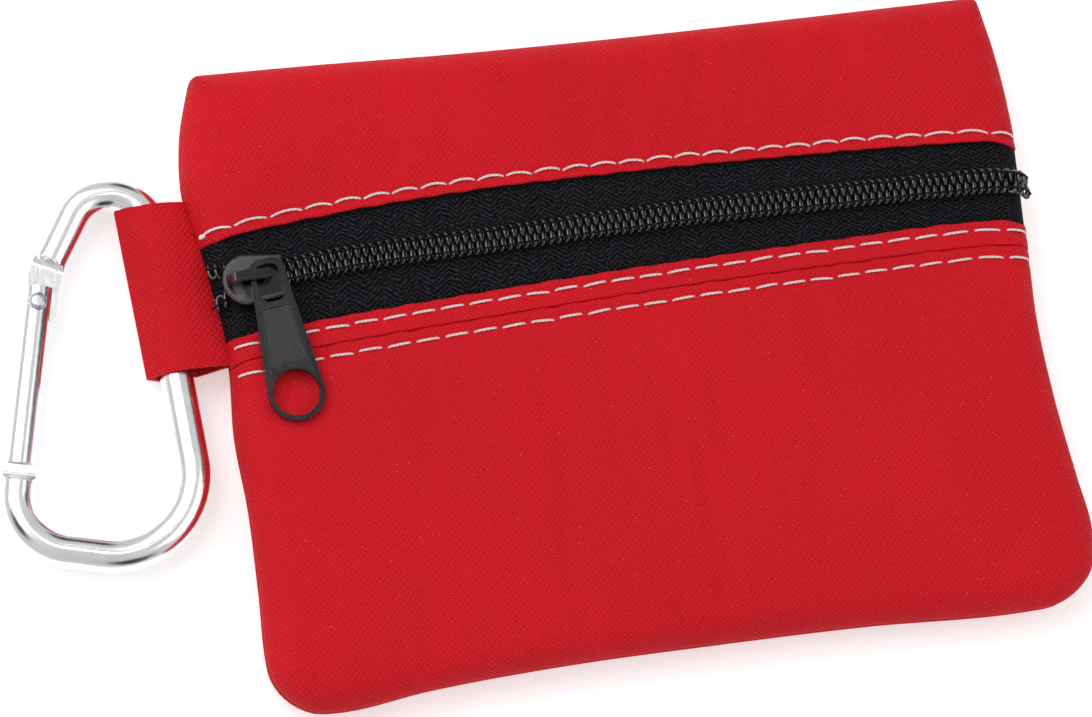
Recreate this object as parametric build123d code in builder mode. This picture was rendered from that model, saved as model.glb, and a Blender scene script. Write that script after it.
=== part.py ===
"""A pocket first aid kit: a small zipped fabric pouch, packed with dressings, with a clip on a webbing loop.

Millimetres. The pouch lies on its back. The origin is the centre of its back face, +X runs along the zip from
the clip to the far side, +Y points from the bottom edge to the top edge, and +Z points out of the front.
"""

from build123d import *
import os
from math import atan2, cos, degrees, radians, sin

# Pouch
POUCH_WIDTH = 124.0
POUCH_HEIGHT = 96.8
POUCH_THICKNESS = 12.0
CORNER_RADIUS = 6.5
EDGE_RADIUS = 3.0
FABRIC = 0.8
SEAM_Z = POUCH_THICKNESS / 2
HALF_WIDTH = POUCH_WIDTH / 2
HALF_HEIGHT = POUCH_HEIGHT / 2
REACH = HALF_WIDTH + 2.0
CUT_CLEAR = 5.0

# Zip opening: each fabric edge is a shallow arc, given by its ends and its middle
UPPER_EDGE = ((-REACH, 20.9), (5.0, 25.1), (REACH, 23.4))
LOWER_EDGE = ((-REACH, 6.7), (2.0, 10.4), (REACH, 11.4))
STRIP_WIDTH = 3.9
GROOVE = 0.2

# Zip chain: a straight line that climbs slightly towards +X
SLIDER_X = -57.65
SLIDER_Y = 14.95
CHAIN_SLOPE_DEG = 1.3
CHAIN_HALF_GAP = 0.9
CHAIN_HALF_WIDTH = 1.95
TAPE_INSET = 1.1
TAPE = 0.6
TAPE_UNDERLAP = 2.0
COIL_HEIGHT = 1.5
TAPE_TOP = POUCH_THICKNESS - TAPE_INSET
COIL_TOP = TAPE_TOP + COIL_HEIGHT

# Topstitching
STITCH_PITCH = 4.4
STITCH_LENGTH = 3.8
STITCH_WIDTH = 0.55
STITCH_PROUD = 0.35
STITCH_SPAN = 116.0
UPPER_STITCH_OFFSET = 1.6
STRIP_STITCH_OFFSET = -1.5
LOWER_STITCH_OFFSET = -5.8

# Slider
SLIDER_NOSE = -4.65
SLIDER_TAIL = 4.65
NOSE_ROUND = 3.4
SLIDER_HALF_WIDTH = 3.8
TAIL_HALF_WIDTH = 3.2
PLATE = 0.8
PLATE_ROUND = 0.45
PLATE_BOTTOM = COIL_TOP + 0.2
PLATE_TOP = PLATE_BOTTOM + PLATE
FLANGE_BOTTOM = TAPE_TOP + 0.3
FLANGE_INNER = 2.4
UNDER_PLATE_TOP = TAPE_TOP - TAPE - 0.3
UNDER_PLATE_NOSE = -1.65
NECK_LENGTH = 1.3
NECK_WIDTH = 1.1
BRIDGE_WIDTH = 1.3
BRIDGE_NOSE = -4.1
BRIDGE_POST = 1.9
POST_LENGTH = 1.0
BRIDGE_UNDERSIDE = 15.1
BRIDGE_TOP = 16.2
BRIDGE_ROUND = 0.6
BRIDGE_NOSE_RAKE = 0.7
BRIDGE_INNER_FOOT = 1.2
BRIDGE_INNER_TOP = 1.6

# Pull tab
PULL_LEAN_DEG = 5.7
PULL_DROP_DEG = 2.5
PULL_THICKNESS = 1.1
PULL_Z = PLATE_TOP + 0.2 + PULL_THICKNESS / 2
EYE_TOP = -2.4
EYE_HALF_WIDTH = 2.55
EYE_HOLE_TOP = -1.6
EYE_HOLE_BOTTOM = 4.1
EYE_HOLE_WIDTH = 3.8
EYE_ROUND = 1.6
EYE_HOLE_ROUND = 1.5
PULL_HOLE_AT = 18.0
PULL_HOLE_RADIUS = 3.5
PULL_END_RADIUS = 4.2
PANEL_TOP = 5.0
PANEL_BOTTOM = 13.4
PANEL_TOP_HALF = 2.2
PANEL_BOTTOM_HALF = 2.9
PANEL_DEPTH = 0.2

# Webbing loop
LOOP_BOTTOM_Y = 3.6
LOOP_WIDTH = 25.0
WEBBING = 0.8
LOOP_ROOT_X = -HALF_WIDTH - 1.35
LOOP_PINCH = 0.6
LOOP_OPEN = 4.6
LOOP_FOLD_X = -75.4
LOOP_LOW_Z = 0.05
LOOP_HIGH_Z = 8.25
LOOP_FOLD_FLAT = 0.2
LOOP_PARTING = 0.34
LOOP_HIGH_MITRE = 0.14
LOOP_LOW_MITRE = 0.39

# Carabiner
ROD_RADIUS = 2.6
ROD_Z = 4.15
RIVET = (-88.9, 16.9)
GATE_LEAN_DEG = 13.65
GATE_RADIUS = 2.15
GATE_TOP = 2.4
GATE_BOTTOM = -24.3
TONGUE_HALF = 0.8
SLOT_HALF = 1.0
HINGE_SLOT_DEPTH = 5.6
HINGE_TONGUE_RADIUS = 4.2
NOSE_SLOT_DEPTH = 4.0
NOSE_TONGUE_TOP = -20.6
NOSE_INSET = 0.7
HINGE_FLAT_END = 5.2
NOSE_FLAT_END = -25.6
FLAT_RAMP = 1.8
SCALLOP_AT = 0.75
SCALLOP_RISE = 0.75
HINGE_END_PAST = 1.0
HINGE_END_ASIDE = -0.3
HINGE_CUT_PAST = 3.0
NOSE_CUT_PAST = 1.0
NOSE_NOTCH = 6.0
NOSE_NOTCH_GAP = 0.3
GATE_NOSE_INSET = 0.9
RIVET_RADIUS = 0.75
RIVET_HEAD_RADIUS = 1.3
RIVET_SEAT = 1.75
RIVET_HEAD_HEIGHT = 0.75
RIVET_DOME = 0.7
RIVET_FIT = 0.02
RIVET_SEAT_GAP = 0.05
RUNNING_GAP = 0.1
SPRING_WIRE = 0.7
SPRING_LENGTH = 4.0
SPRING_GROOVE = 1.3
SPRING_BELOW_TONGUE = 0.75
SPRING_BEND = 0.6
SPRING_TOP_ASIDE = -0.2
SPRING_ASIDE = -1.6
SPRING_SHORT = 0.6
SPINE_FOOT = (-68.7, -25.7)
SPINE_HEAD = (-71.1, 32.2)
ROD_CORNERS = ((-87.0, 21.8), (-80.5, 32.2), SPINE_HEAD, SPINE_FOOT, (-97.0, -18.3))
ROD_BENDS = (9.0, 5.8, 5.8, 12.0, 8.0)

# Contents, each a flat packet: (name, length, height, thickness, x, y, z, turn)
CONTENTS = (
    ("gauze_pad_1", 52.0, 52.0, 2.4, -29.0, -17.0, 1.0, 0.0),
    ("gauze_pad_2", 52.0, 52.0, 2.4, 27.0, -15.0, 1.0, 0.0),
    ("antiseptic_wipe_1", 32.0, 50.0, 1.5, -39.0, -16.0, 3.6, 2.0),
    ("antiseptic_wipe_2", 32.0, 50.0, 1.5, -3.5, -17.0, 3.6, -2.0),
    ("antiseptic_wipe_3", 32.0, 50.0, 1.5, 32.0, -15.0, 3.6, 1.0),
    ("ointment_sachet_1", 48.0, 24.0, 1.8, -33.0, 27.5, 2.0, 0.0),
    ("ointment_sachet_2", 48.0, 24.0, 1.8, 20.0, 27.5, 2.0, 0.0),
    ("adhesive_bandage_1", 76.0, 28.0, 0.55, -14.0, 6.0, 5.4, 3.0),
    ("adhesive_bandage_2", 76.0, 28.0, 0.55, 10.0, -6.0, 6.1, -4.0),
    ("adhesive_bandage_3", 76.0, 28.0, 0.55, -8.0, -18.0, 6.8, 2.0),
    ("adhesive_bandage_4", 76.0, 28.0, 0.55, 12.0, 8.0, 7.5, -2.0),
    ("adhesive_bandage_5", 76.0, 28.0, 0.55, -4.0, -4.0, 8.2, 5.0),
)
PACKET_CORNER = 2.0

CHAIN_SLOPE = radians(CHAIN_SLOPE_DEG)
GATE_LEAN = radians(GATE_LEAN_DEG)
GATE_UP = (sin(GATE_LEAN), cos(GATE_LEAN), 0)


def chain_plane(z):
    """A horizontal plane whose x axis runs along the chain, with its origin at the slider's centre."""
    along = (cos(CHAIN_SLOPE), sin(CHAIN_SLOPE), 0)
    return Plane(origin=(SLIDER_X, SLIDER_Y, z), x_dir=along, z_dir=(0, 0, 1))


def gate_plane(z):
    """A horizontal plane at the rivet: x runs up the gate's axis, y points out of the carabiner."""
    return Plane(origin=(*RIVET, ROD_Z + z), x_dir=GATE_UP, z_dir=(0, 0, 1))


def gate_point(along, outward):
    """A world (x, y) from the gate's own axes."""
    x = RIVET[0] + along * GATE_UP[0] - outward * GATE_UP[1]
    y = RIVET[1] + along * GATE_UP[1] + outward * GATE_UP[0]
    return (x, y)


def shifted(points, rise):
    """The arc's three points, moved by rise along Y."""
    return tuple((x, y + rise) for x, y in points)


def pillow(inset):
    """The pouch's rounded block, drawn in by inset on every side."""
    width = POUCH_WIDTH - 2 * inset
    height = POUCH_HEIGHT - 2 * inset
    with BuildPart() as block:
        with BuildSketch(Plane.XY.offset(inset)):
            RectangleRounded(width, height, CORNER_RADIUS - inset)
        extrude(amount=POUCH_THICKNESS - 2 * inset)
        ends = block.faces().sort_by(Axis.Z)
        fillet(ends[0].edges() + ends[-1].edges(), EDGE_RADIUS - inset)
    return block.part


def skin(outer, inner):
    """The layer of the pouch between two insets, above and below the seam alike."""
    outside = pillow(outer)
    inside = pillow(inner)
    with BuildPart() as layer:
        add(outside)
        add(inside, mode=Mode.SUBTRACT)
    return layer.part


def overlap(piece, region):
    """The part of a piece that lies inside a region."""
    with BuildPart() as common:
        add(piece)
        add(region, mode=Mode.INTERSECT)
    return common.part


def level_line(y):
    """A straight line across the pouch, given as an edge's three points are."""
    return ((-REACH, y), (0.0, y), (REACH, y))


def front_region(low, high):
    """Everything in front of the seam between two lines across the pouch."""
    with BuildPart() as region:
        with BuildSketch(Plane.XY.offset(SEAM_Z)):
            with BuildLine():
                for line in (low, high):
                    if line[0][1] == line[1][1]:
                        Line(line[0], line[2])
                    else:
                        ThreePointArc(*line)
                Line(low[0], high[0])
                Line(low[2], high[2])
            make_face()
        extrude(amount=POUCH_THICKNESS)
    return region.part


def chain_band(side, near, far):
    """The region in front of the seam between two distances to one side of the chain's line."""
    with BuildPart() as band:
        with BuildSketch(chain_plane(SEAM_Z)):
            with Locations((-SLIDER_X, side * (near + far) / 2)):
                Rectangle(2 * REACH + CUT_CLEAR, far - near)
        extrude(amount=POUCH_THICKNESS)
    return band.part


def make_back_panel():
    """The half of the pouch behind the seam."""
    layer = skin(0, FABRIC)
    with BuildPart() as panel:
        add(layer)
        with BuildSketch(Plane.XY.offset(SEAM_Z)):
            Rectangle(POUCH_WIDTH + CUT_CLEAR, POUCH_HEIGHT + CUT_CLEAR)
        extrude(amount=POUCH_THICKNESS, mode=Mode.SUBTRACT)
    return panel.part


def make_front_panel(low, high):
    """A piece of the pouch's front between two lines across it."""
    return overlap(skin(0, FABRIC), front_region(low, high))


def make_tape(edge, side):
    """One side's tape, from the gap at the chain to just under the fabric's edge."""
    far_line = shifted(edge, side * TAPE_UNDERLAP)
    near_line = level_line(SLIDER_Y - side * HALF_HEIGHT)
    low, high = sorted((near_line, far_line), key=lambda line: line[1][1])
    tape = overlap(skin(TAPE_INSET, TAPE_INSET + TAPE), front_region(low, high))
    return overlap(tape, chain_band(side, CHAIN_HALF_GAP, HALF_HEIGHT))


def make_coil(side):
    """One side's coil, as a plain bar that follows the tape over both ends of the pouch."""
    layer = skin(TAPE_INSET - COIL_HEIGHT, TAPE_INSET)
    return overlap(layer, chain_band(side, CHAIN_HALF_GAP, CHAIN_HALF_WIDTH))


def stitch_places(edge, offset):
    """Evenly spaced places along a fabric edge, each turned to follow it."""
    row = ThreePointArc(*shifted(edge, offset))
    gaps = int(STITCH_SPAN / STITCH_PITCH)
    places = []
    for index in range(gaps + 1):
        along = 0.5 + (index - gaps / 2) * STITCH_PITCH / row.length
        spot = row.position_at(along)
        heading = row.tangent_at(along)
        turn = degrees(atan2(heading.Y, heading.X))
        places.append(Location((spot.X, spot.Y, 0), (0, 0, turn)))
    return places


def make_stitches(edge, offset):
    """A row of separate stitches lying on the fabric."""
    places = stitch_places(edge, offset)
    with BuildPart() as row:
        with BuildSketch(Plane.XY.offset(POUCH_THICKNESS)):
            with Locations(*places):
                SlotOverall(STITCH_LENGTH, STITCH_WIDTH)
        extrude(amount=STITCH_PROUD)
    return row.part


def slider_outline(nose):
    """The slider's plan: a round nose, widest behind it, narrowing to a square tail."""
    with BuildSketch() as outline:
        with BuildLine():
            ThreePointArc(
                (nose + NOSE_ROUND, SLIDER_HALF_WIDTH),
                (nose, 0),
                (nose + NOSE_ROUND, -SLIDER_HALF_WIDTH),
            )
            Polyline(
                (nose + NOSE_ROUND, -SLIDER_HALF_WIDTH),
                (SLIDER_TAIL, -TAIL_HALF_WIDTH),
                (SLIDER_TAIL, TAIL_HALF_WIDTH),
                (nose + NOSE_ROUND, SLIDER_HALF_WIDTH),
            )
        make_face()
    return outline.sketch


def make_bridge():
    """The arch over the slider that holds the pull's eye on its rear post."""
    along = (cos(CHAIN_SLOPE), sin(CHAIN_SLOPE), 0)
    front = (sin(CHAIN_SLOPE), -cos(CHAIN_SLOPE), 0)
    side_view = Plane(origin=(SLIDER_X, SLIDER_Y, 0), x_dir=along, z_dir=front)
    post_tail = BRIDGE_POST + POST_LENGTH / 2
    post_nose = BRIDGE_POST - POST_LENGTH / 2
    with BuildPart() as bridge:
        with BuildSketch(side_view) as profile:
            with BuildLine():
                Polyline(
                    (BRIDGE_NOSE, PLATE_TOP),
                    (BRIDGE_NOSE + BRIDGE_NOSE_RAKE, BRIDGE_TOP),
                    (post_tail, BRIDGE_TOP),
                    (post_tail, PLATE_TOP),
                    (post_nose, PLATE_TOP),
                    (post_nose, BRIDGE_UNDERSIDE),
                    (BRIDGE_NOSE + BRIDGE_INNER_TOP, BRIDGE_UNDERSIDE),
                    (BRIDGE_NOSE + BRIDGE_INNER_FOOT, PLATE_TOP),
                    close=True,
                )
            make_face()
            fillet(profile.vertices().group_by(Axis.Y)[-1], BRIDGE_ROUND)
        extrude(amount=BRIDGE_WIDTH / 2, both=True)
    return bridge.part


def make_slider():
    """The slider: two plates joined by a neck, side flanges, and a bridge for the pull."""
    bridge = make_bridge()
    upper_outline = slider_outline(SLIDER_NOSE)
    under_outline = slider_outline(UNDER_PLATE_NOSE)
    with BuildPart() as slider:
        with BuildSketch(chain_plane(PLATE_BOTTOM)):
            add(upper_outline)
        extrude(amount=PLATE)
        fillet(slider.faces().sort_by(Axis.Z)[-1].edges(), PLATE_ROUND)
        with BuildSketch(chain_plane(FLANGE_BOTTOM)):
            add(upper_outline)
            with Locations((SLIDER_TAIL, 0)):
                Rectangle(
                    SLIDER_TAIL - SLIDER_NOSE,
                    2 * FLANGE_INNER,
                    align=(Align.MAX, Align.CENTER),
                    mode=Mode.SUBTRACT,
                )
            with Locations((SLIDER_NOSE, 0)):
                Rectangle(
                    NOSE_ROUND,
                    3 * SLIDER_HALF_WIDTH,
                    align=(Align.MIN, Align.CENTER),
                    mode=Mode.SUBTRACT,
                )
        extrude(amount=PLATE_BOTTOM - FLANGE_BOTTOM)
        with BuildSketch(chain_plane(UNDER_PLATE_TOP - PLATE)):
            add(under_outline)
        extrude(amount=PLATE)
        with BuildSketch(chain_plane(UNDER_PLATE_TOP)):
            with Locations((UNDER_PLATE_NOSE + NECK_LENGTH, 0)):
                Rectangle(NECK_LENGTH, NECK_WIDTH)
        extrude(amount=PLATE_BOTTOM - UNDER_PLATE_TOP)
        add(bridge)
    return slider.part


def pull_plane(height):
    """The pull's own plane: x runs from the post to the far end, z out of its face."""
    lean = radians(PULL_LEAN_DEG)
    drop = radians(PULL_DROP_DEG)
    post = chain_plane(PULL_Z).from_local_coords((BRIDGE_POST, 0, 0))
    along = (sin(lean) * cos(drop), -cos(lean) * cos(drop), -sin(drop))
    up = (sin(lean) * sin(drop), -cos(lean) * sin(drop), cos(drop))
    return Plane(origin=post, x_dir=along, z_dir=up).offset(height)


def make_pull():
    """The pull tab: an eye round the post, a sunk panel and a finger hole at the end."""
    half = PULL_THICKNESS / 2
    eye_length = EYE_HOLE_BOTTOM - EYE_HOLE_TOP
    corner_y = EYE_HALF_WIDTH - EYE_ROUND
    with BuildPart() as pull:
        with BuildSketch(pull_plane(-half)):
            with Locations((EYE_TOP + EYE_ROUND, corner_y), (EYE_TOP + EYE_ROUND, -corner_y)):
                Circle(EYE_ROUND)
            with Locations((PULL_HOLE_AT, 0)):
                Circle(PULL_END_RADIUS)
            make_hull()
            with Locations((EYE_HOLE_TOP + eye_length / 2, 0)):
                RectangleRounded(eye_length, EYE_HOLE_WIDTH, EYE_HOLE_ROUND, mode=Mode.SUBTRACT)
            with Locations((PULL_HOLE_AT, 0)):
                Circle(PULL_HOLE_RADIUS, mode=Mode.SUBTRACT)
        extrude(amount=PULL_THICKNESS)
        with BuildSketch(pull_plane(half)):
            with BuildLine():
                Polyline(
                    (PANEL_TOP, -PANEL_TOP_HALF),
                    (PANEL_BOTTOM, -PANEL_BOTTOM_HALF),
                    (PANEL_BOTTOM, PANEL_BOTTOM_HALF),
                    (PANEL_TOP, PANEL_TOP_HALF),
                    close=True,
                )
            make_face()
        extrude(amount=-PANEL_DEPTH, mode=Mode.SUBTRACT)
    return pull.part


def make_loop():
    """The webbing loop: two layers together at the seam, parting to go round the carabiner's spine."""
    root_low = SEAM_Z - WEBBING
    root_high = SEAM_Z + WEBBING
    pinch_x = LOOP_ROOT_X - LOOP_PINCH
    open_x = LOOP_ROOT_X - LOOP_OPEN
    fold_round = (LOOP_HIGH_Z - LOOP_LOW_Z) / 2 - LOOP_FOLD_FLAT
    with BuildPart() as loop:
        with BuildSketch(Plane.XZ.offset(-LOOP_BOTTOM_Y)) as section:
            with BuildLine():
                Polyline(
                    (LOOP_ROOT_X, root_high),
                    (pinch_x, root_high),
                    (open_x, LOOP_HIGH_Z),
                    (LOOP_FOLD_X, LOOP_HIGH_Z),
                    (LOOP_FOLD_X, LOOP_LOW_Z),
                    (open_x, LOOP_LOW_Z),
                    (pinch_x, root_low),
                    (LOOP_ROOT_X, root_low),
                    close=True,
                )
            make_face()
            fillet(section.vertices().group_by(Axis.X)[0], fold_round)
        extrude(amount=-LOOP_WIDTH)
        with BuildSketch(Plane.XZ.offset(-LOOP_BOTTOM_Y)) as hollow:
            with BuildLine():
                Polyline(
                    (pinch_x - LOOP_PARTING, SEAM_Z),
                    (open_x - LOOP_HIGH_MITRE, LOOP_HIGH_Z - WEBBING),
                    (LOOP_FOLD_X + WEBBING, LOOP_HIGH_Z - WEBBING),
                    (LOOP_FOLD_X + WEBBING, LOOP_LOW_Z + WEBBING),
                    (open_x - LOOP_LOW_MITRE, LOOP_LOW_Z + WEBBING),
                    close=True,
                )
            make_face()
            fillet(hollow.vertices().group_by(Axis.X)[0], fold_round - WEBBING)
        extrude(amount=-LOOP_WIDTH, mode=Mode.SUBTRACT)
    return loop.part


def flat_cutter(start, end, toward):
    """A cutter that mills both faces of the rod to the tongue's thickness, ramping out at its far end."""
    side_view = Plane(origin=(*RIVET, ROD_Z), x_dir=GATE_UP, z_dir=(GATE_UP[1], -GATE_UP[0], 0))
    clear = 2 * ROD_RADIUS
    ramp_end = end + toward * FLAT_RAMP
    with BuildPart() as cutter:
        with BuildSketch(side_view):
            with BuildLine():
                Polyline((ramp_end, clear), (start, clear), (start, TONGUE_HALF), (end, TONGUE_HALF))
                ThreePointArc(
                    (end, TONGUE_HALF),
                    (end + toward * FLAT_RAMP * SCALLOP_AT, TONGUE_HALF + SCALLOP_RISE),
                    (ramp_end, clear),
                )
            make_face()
            mirror(about=Plane(origin=side_view.origin, x_dir=GATE_UP, z_dir=(0, 0, 1)))
        extrude(amount=2 * clear, both=True)
    return cutter.part


def make_carabiner():
    """The carabiner's bent rod, milled at its ends to a hinge tongue and a nose tongue."""
    hinge_end = gate_point(-HINGE_TONGUE_RADIUS - HINGE_END_PAST, HINGE_END_ASIDE)
    nose_end = gate_point(NOSE_TONGUE_TOP, 0)
    hinge_cutter = flat_cutter(-HINGE_TONGUE_RADIUS - HINGE_CUT_PAST, HINGE_FLAT_END, 1)
    nose_cutter = flat_cutter(NOSE_TONGUE_TOP + NOSE_CUT_PAST, NOSE_FLAT_END, -1)
    route = FilletPolyline(hinge_end, *ROD_CORNERS, nose_end, radius=ROD_BENDS)
    start = Plane(origin=route @ 0, z_dir=route % 0)
    with BuildPart() as rod:
        with BuildLine(Plane.XY):
            add(route)
        with BuildSketch(start):
            Circle(ROD_RADIUS)
        sweep()
    lifted = rod.part.moved(Location((0, 0, ROD_Z)))
    with BuildPart() as carabiner:
        add(lifted)
        add(hinge_cutter, mode=Mode.SUBTRACT)
        add(nose_cutter, mode=Mode.SUBTRACT)
        with BuildSketch(gate_plane(0)):
            with Locations((-HINGE_TONGUE_RADIUS - CUT_CLEAR, 0)):
                Rectangle(HINGE_TONGUE_RADIUS + CUT_CLEAR, 2 * CUT_CLEAR, align=(Align.MIN, Align.CENTER))
            Circle(HINGE_TONGUE_RADIUS, mode=Mode.SUBTRACT)
        extrude(amount=2 * ROD_RADIUS, both=True, mode=Mode.SUBTRACT)
        with BuildSketch(gate_plane(0)):
            Circle(RIVET_RADIUS + RUNNING_GAP)
            with Locations((GATE_BOTTOM - NOSE_NOTCH_GAP, -NOSE_INSET)):
                Rectangle(NOSE_NOTCH, NOSE_NOTCH, align=(Align.MIN, Align.MAX))
        extrude(amount=2 * ROD_RADIUS, both=True, mode=Mode.SUBTRACT)
    return carabiner.part


def make_gate():
    """The gate: a rod slotted at both ends, for the hinge tongue and for the nose tongue."""
    end_view = Plane(origin=(*gate_point(GATE_BOTTOM, 0), ROD_Z), z_dir=GATE_UP)
    with BuildPart() as gate:
        with BuildSketch(end_view):
            Circle(GATE_RADIUS)
        extrude(amount=GATE_TOP - GATE_BOTTOM)
        with BuildSketch(gate_plane(-SLOT_HALF)):
            with Locations((-HINGE_SLOT_DEPTH, 0)):
                Rectangle(3 * HINGE_SLOT_DEPTH, 4 * GATE_RADIUS, align=(Align.MIN, Align.CENTER))
            with Locations((GATE_BOTTOM, -GATE_NOSE_INSET)):
                Rectangle(2 * NOSE_SLOT_DEPTH, 4 * GATE_RADIUS, align=(Align.CENTER, Align.MIN))
            with Locations((-HINGE_SLOT_DEPTH, -GATE_RADIUS)):
                Rectangle(SPRING_LENGTH, SPRING_GROOVE, align=(Align.MAX, Align.MIN))
        extrude(amount=2 * SLOT_HALF, mode=Mode.SUBTRACT)
        with BuildSketch(gate_plane(-GATE_RADIUS)):
            Circle(RIVET_RADIUS + RIVET_FIT)
        extrude(amount=2 * GATE_RADIUS, mode=Mode.SUBTRACT)
        for face in (1, -1):
            with BuildSketch(gate_plane(face * RIVET_SEAT)):
                Circle(RIVET_HEAD_RADIUS + RIVET_SEAT_GAP)
            extrude(amount=face * GATE_RADIUS, mode=Mode.SUBTRACT)
    return gate.part


def make_rivet():
    """The hinge rivet: a shank with a domed head on each side."""
    with BuildPart() as rivet:
        with BuildSketch(gate_plane(-RIVET_SEAT)):
            Circle(RIVET_RADIUS)
        extrude(amount=2 * RIVET_SEAT)
        for face in (1, -1):
            with BuildSketch(gate_plane(face * RIVET_SEAT)):
                Circle(RIVET_HEAD_RADIUS)
            extrude(amount=face * RIVET_HEAD_HEIGHT)
        heads = rivet.faces().sort_by(Axis.Z)
        fillet(heads[0].edges() + heads[-1].edges(), RIVET_DOME)
    return rivet.part


def make_spring():
    """The gate's wire spring, bent into the slot below the hinge tongue."""
    high = -HINGE_TONGUE_RADIUS - SPRING_BELOW_TONGUE
    low = -HINGE_SLOT_DEPTH - SPRING_LENGTH + SPRING_SHORT
    top = (*gate_point(high, SPRING_TOP_ASIDE), ROD_Z)
    bend = (*gate_point(high, SPRING_ASIDE), ROD_Z)
    foot = (*gate_point(low, SPRING_ASIDE), ROD_Z)
    route = FilletPolyline(top, bend, foot, radius=SPRING_BEND)
    start = Plane(origin=route @ 0, z_dir=route % 0)
    with BuildPart() as spring:
        with BuildLine():
            add(route)
        with BuildSketch(start):
            Circle(SPRING_WIRE / 2)
        sweep()
    return spring.part


def make_packet(length, height, thickness, x, y, z, turn):
    """One flat wrapped item of the contents."""
    with BuildPart() as packet:
        with BuildSketch(Plane(origin=(x, y, z), x_dir=(cos(radians(turn)), sin(radians(turn)), 0))):
            RectangleRounded(length, height, PACKET_CORNER)
        extrude(amount=thickness)
    return packet.part


def write(name, part):
    """Label a finished piece and write it to its own file."""
    part.label = name
    export_step(part, f"parts/{name}.step")


os.makedirs("parts", exist_ok=True)

TOP_LINE = level_line(HALF_HEIGHT + CUT_CLEAR)
BOTTOM_LINE = level_line(-HALF_HEIGHT - CUT_CLEAR)
STRIP_BOTTOM = shifted(LOWER_EDGE, -STRIP_WIDTH)
PANEL_TOP_EDGE = shifted(STRIP_BOTTOM, -GROOVE)

write("back_panel", make_back_panel())
write("upper_front_panel", make_front_panel(UPPER_EDGE, TOP_LINE))
write("lower_front_panel", make_front_panel(BOTTOM_LINE, PANEL_TOP_EDGE))
write("lower_zip_strip", make_front_panel(STRIP_BOTTOM, LOWER_EDGE))
write("upper_zip_tape", make_tape(UPPER_EDGE, 1))
write("lower_zip_tape", make_tape(LOWER_EDGE, -1))
write("upper_zip_coil", make_coil(1))
write("lower_zip_coil", make_coil(-1))
write("upper_stitching", make_stitches(UPPER_EDGE, UPPER_STITCH_OFFSET))
write("strip_stitching", make_stitches(LOWER_EDGE, STRIP_STITCH_OFFSET))
write("lower_stitching", make_stitches(LOWER_EDGE, LOWER_STITCH_OFFSET))
write("zip_slider", make_slider())
write("pull_tab", make_pull())
write("webbing_loop", make_loop())
write("carabiner_body", make_carabiner())
write("carabiner_gate", make_gate())
write("gate_rivet", make_rivet())
write("gate_spring", make_spring())
for name, *shape in CONTENTS:
    write(name, make_packet(*shape))
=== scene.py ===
from math import atan2, cos, pi, radians, sin

import bmesh
import bpy
import numpy as np
from mathutils import Matrix, Vector


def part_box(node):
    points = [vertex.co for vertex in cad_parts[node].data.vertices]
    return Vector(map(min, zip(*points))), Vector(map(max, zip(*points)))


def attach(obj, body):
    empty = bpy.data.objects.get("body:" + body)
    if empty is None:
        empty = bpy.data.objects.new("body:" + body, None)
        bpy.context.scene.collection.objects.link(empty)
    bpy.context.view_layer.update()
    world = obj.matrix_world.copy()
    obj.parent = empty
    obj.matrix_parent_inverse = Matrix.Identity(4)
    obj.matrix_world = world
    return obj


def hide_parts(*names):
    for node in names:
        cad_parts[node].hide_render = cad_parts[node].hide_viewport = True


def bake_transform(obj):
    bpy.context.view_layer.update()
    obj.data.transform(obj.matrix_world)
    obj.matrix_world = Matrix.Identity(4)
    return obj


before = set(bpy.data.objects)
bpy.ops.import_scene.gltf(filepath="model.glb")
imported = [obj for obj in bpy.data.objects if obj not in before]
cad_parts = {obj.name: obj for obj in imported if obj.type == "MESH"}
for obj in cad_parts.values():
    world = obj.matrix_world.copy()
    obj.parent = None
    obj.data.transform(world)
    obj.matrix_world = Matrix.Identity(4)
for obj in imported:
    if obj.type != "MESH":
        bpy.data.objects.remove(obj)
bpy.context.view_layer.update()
SCENE = bpy.context.scene
MM = 0.001


def box_mm(node):
    """A CAD node's lowest and highest corners, in millimetres."""
    low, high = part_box(node)
    return np.array(low) / MM, np.array(high) / MM


# -------- sizes, in millimetres

HALF_WIDTH, HALF_HEIGHT, SEAM_Z = box_mm("back_panel")[1]
FRONT_Z = box_mm("upper_front_panel")[1][2]
LOOP_LOW, LOOP_HIGH = box_mm("webbing_loop")
ROD_LOW, ROD_HIGH = box_mm("carabiner_body")

# Fabric edges at the zip, as smooth curves through points; both dip where the right side seam pulls them
UPPER_EDGE = ((-62, 21.3), (-54, 22.7), (-38, 24.3), (-22, 25.1), (-8, 25.3), (5, 25.3), (20, 25.1),
              (35, 24.8), (50, 24.2), (56, 23.8), (62, 22.5))
LOWER_EDGE = ((-62, 6.9), (-38, 8.6), (-22, 9.4), (-8, 10.0), (5, 10.5), (20, 10.9),
              (35, 11.2), (50, 11.4), (56, 11.2), (62, 10.3))
STRIP_WIDTH = 3.9
GROOVE = 0.02

# How far each side of the outline stands out from a plain rectangle: (place along the side, out)
LEFT_BULGE = ((-48.4, 0.2), (-42, 1.2), (-30, 0.9), (-18, 0.7), (-7, 1.2), (4, 0.5), (19, 2.2),
              (32, 3.8), (39, 3.0), (48.4, 0.2))
RIGHT_BULGE = ((-48.4, 0.6), (-43, 2.6), (-37, 3.4), (-30, 2.6), (-18, 1.4), (-5, 0.9), (10, 1.9),
               (28, 2.8), (38, 2.3), (48.4, 0.9))
TOP_BULGE = ((-62, 0.2), (-43, 0.0), (-20, -0.5), (4, -0.6), (28, -0.4), (50, -0.1), (62, 0.1))
BOTTOM_BULGE = ((-62, 0.4), (-53, 1.2), (-40, -0.1), (-20, -1.0), (4, -1.0), (28, -0.6), (51, 0.5),
                (62, 0.2))
BULGE_DEPTH = 16.0
TOP_CORNER = 1.4
BOTTOM_CORNER = 6.5

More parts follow.
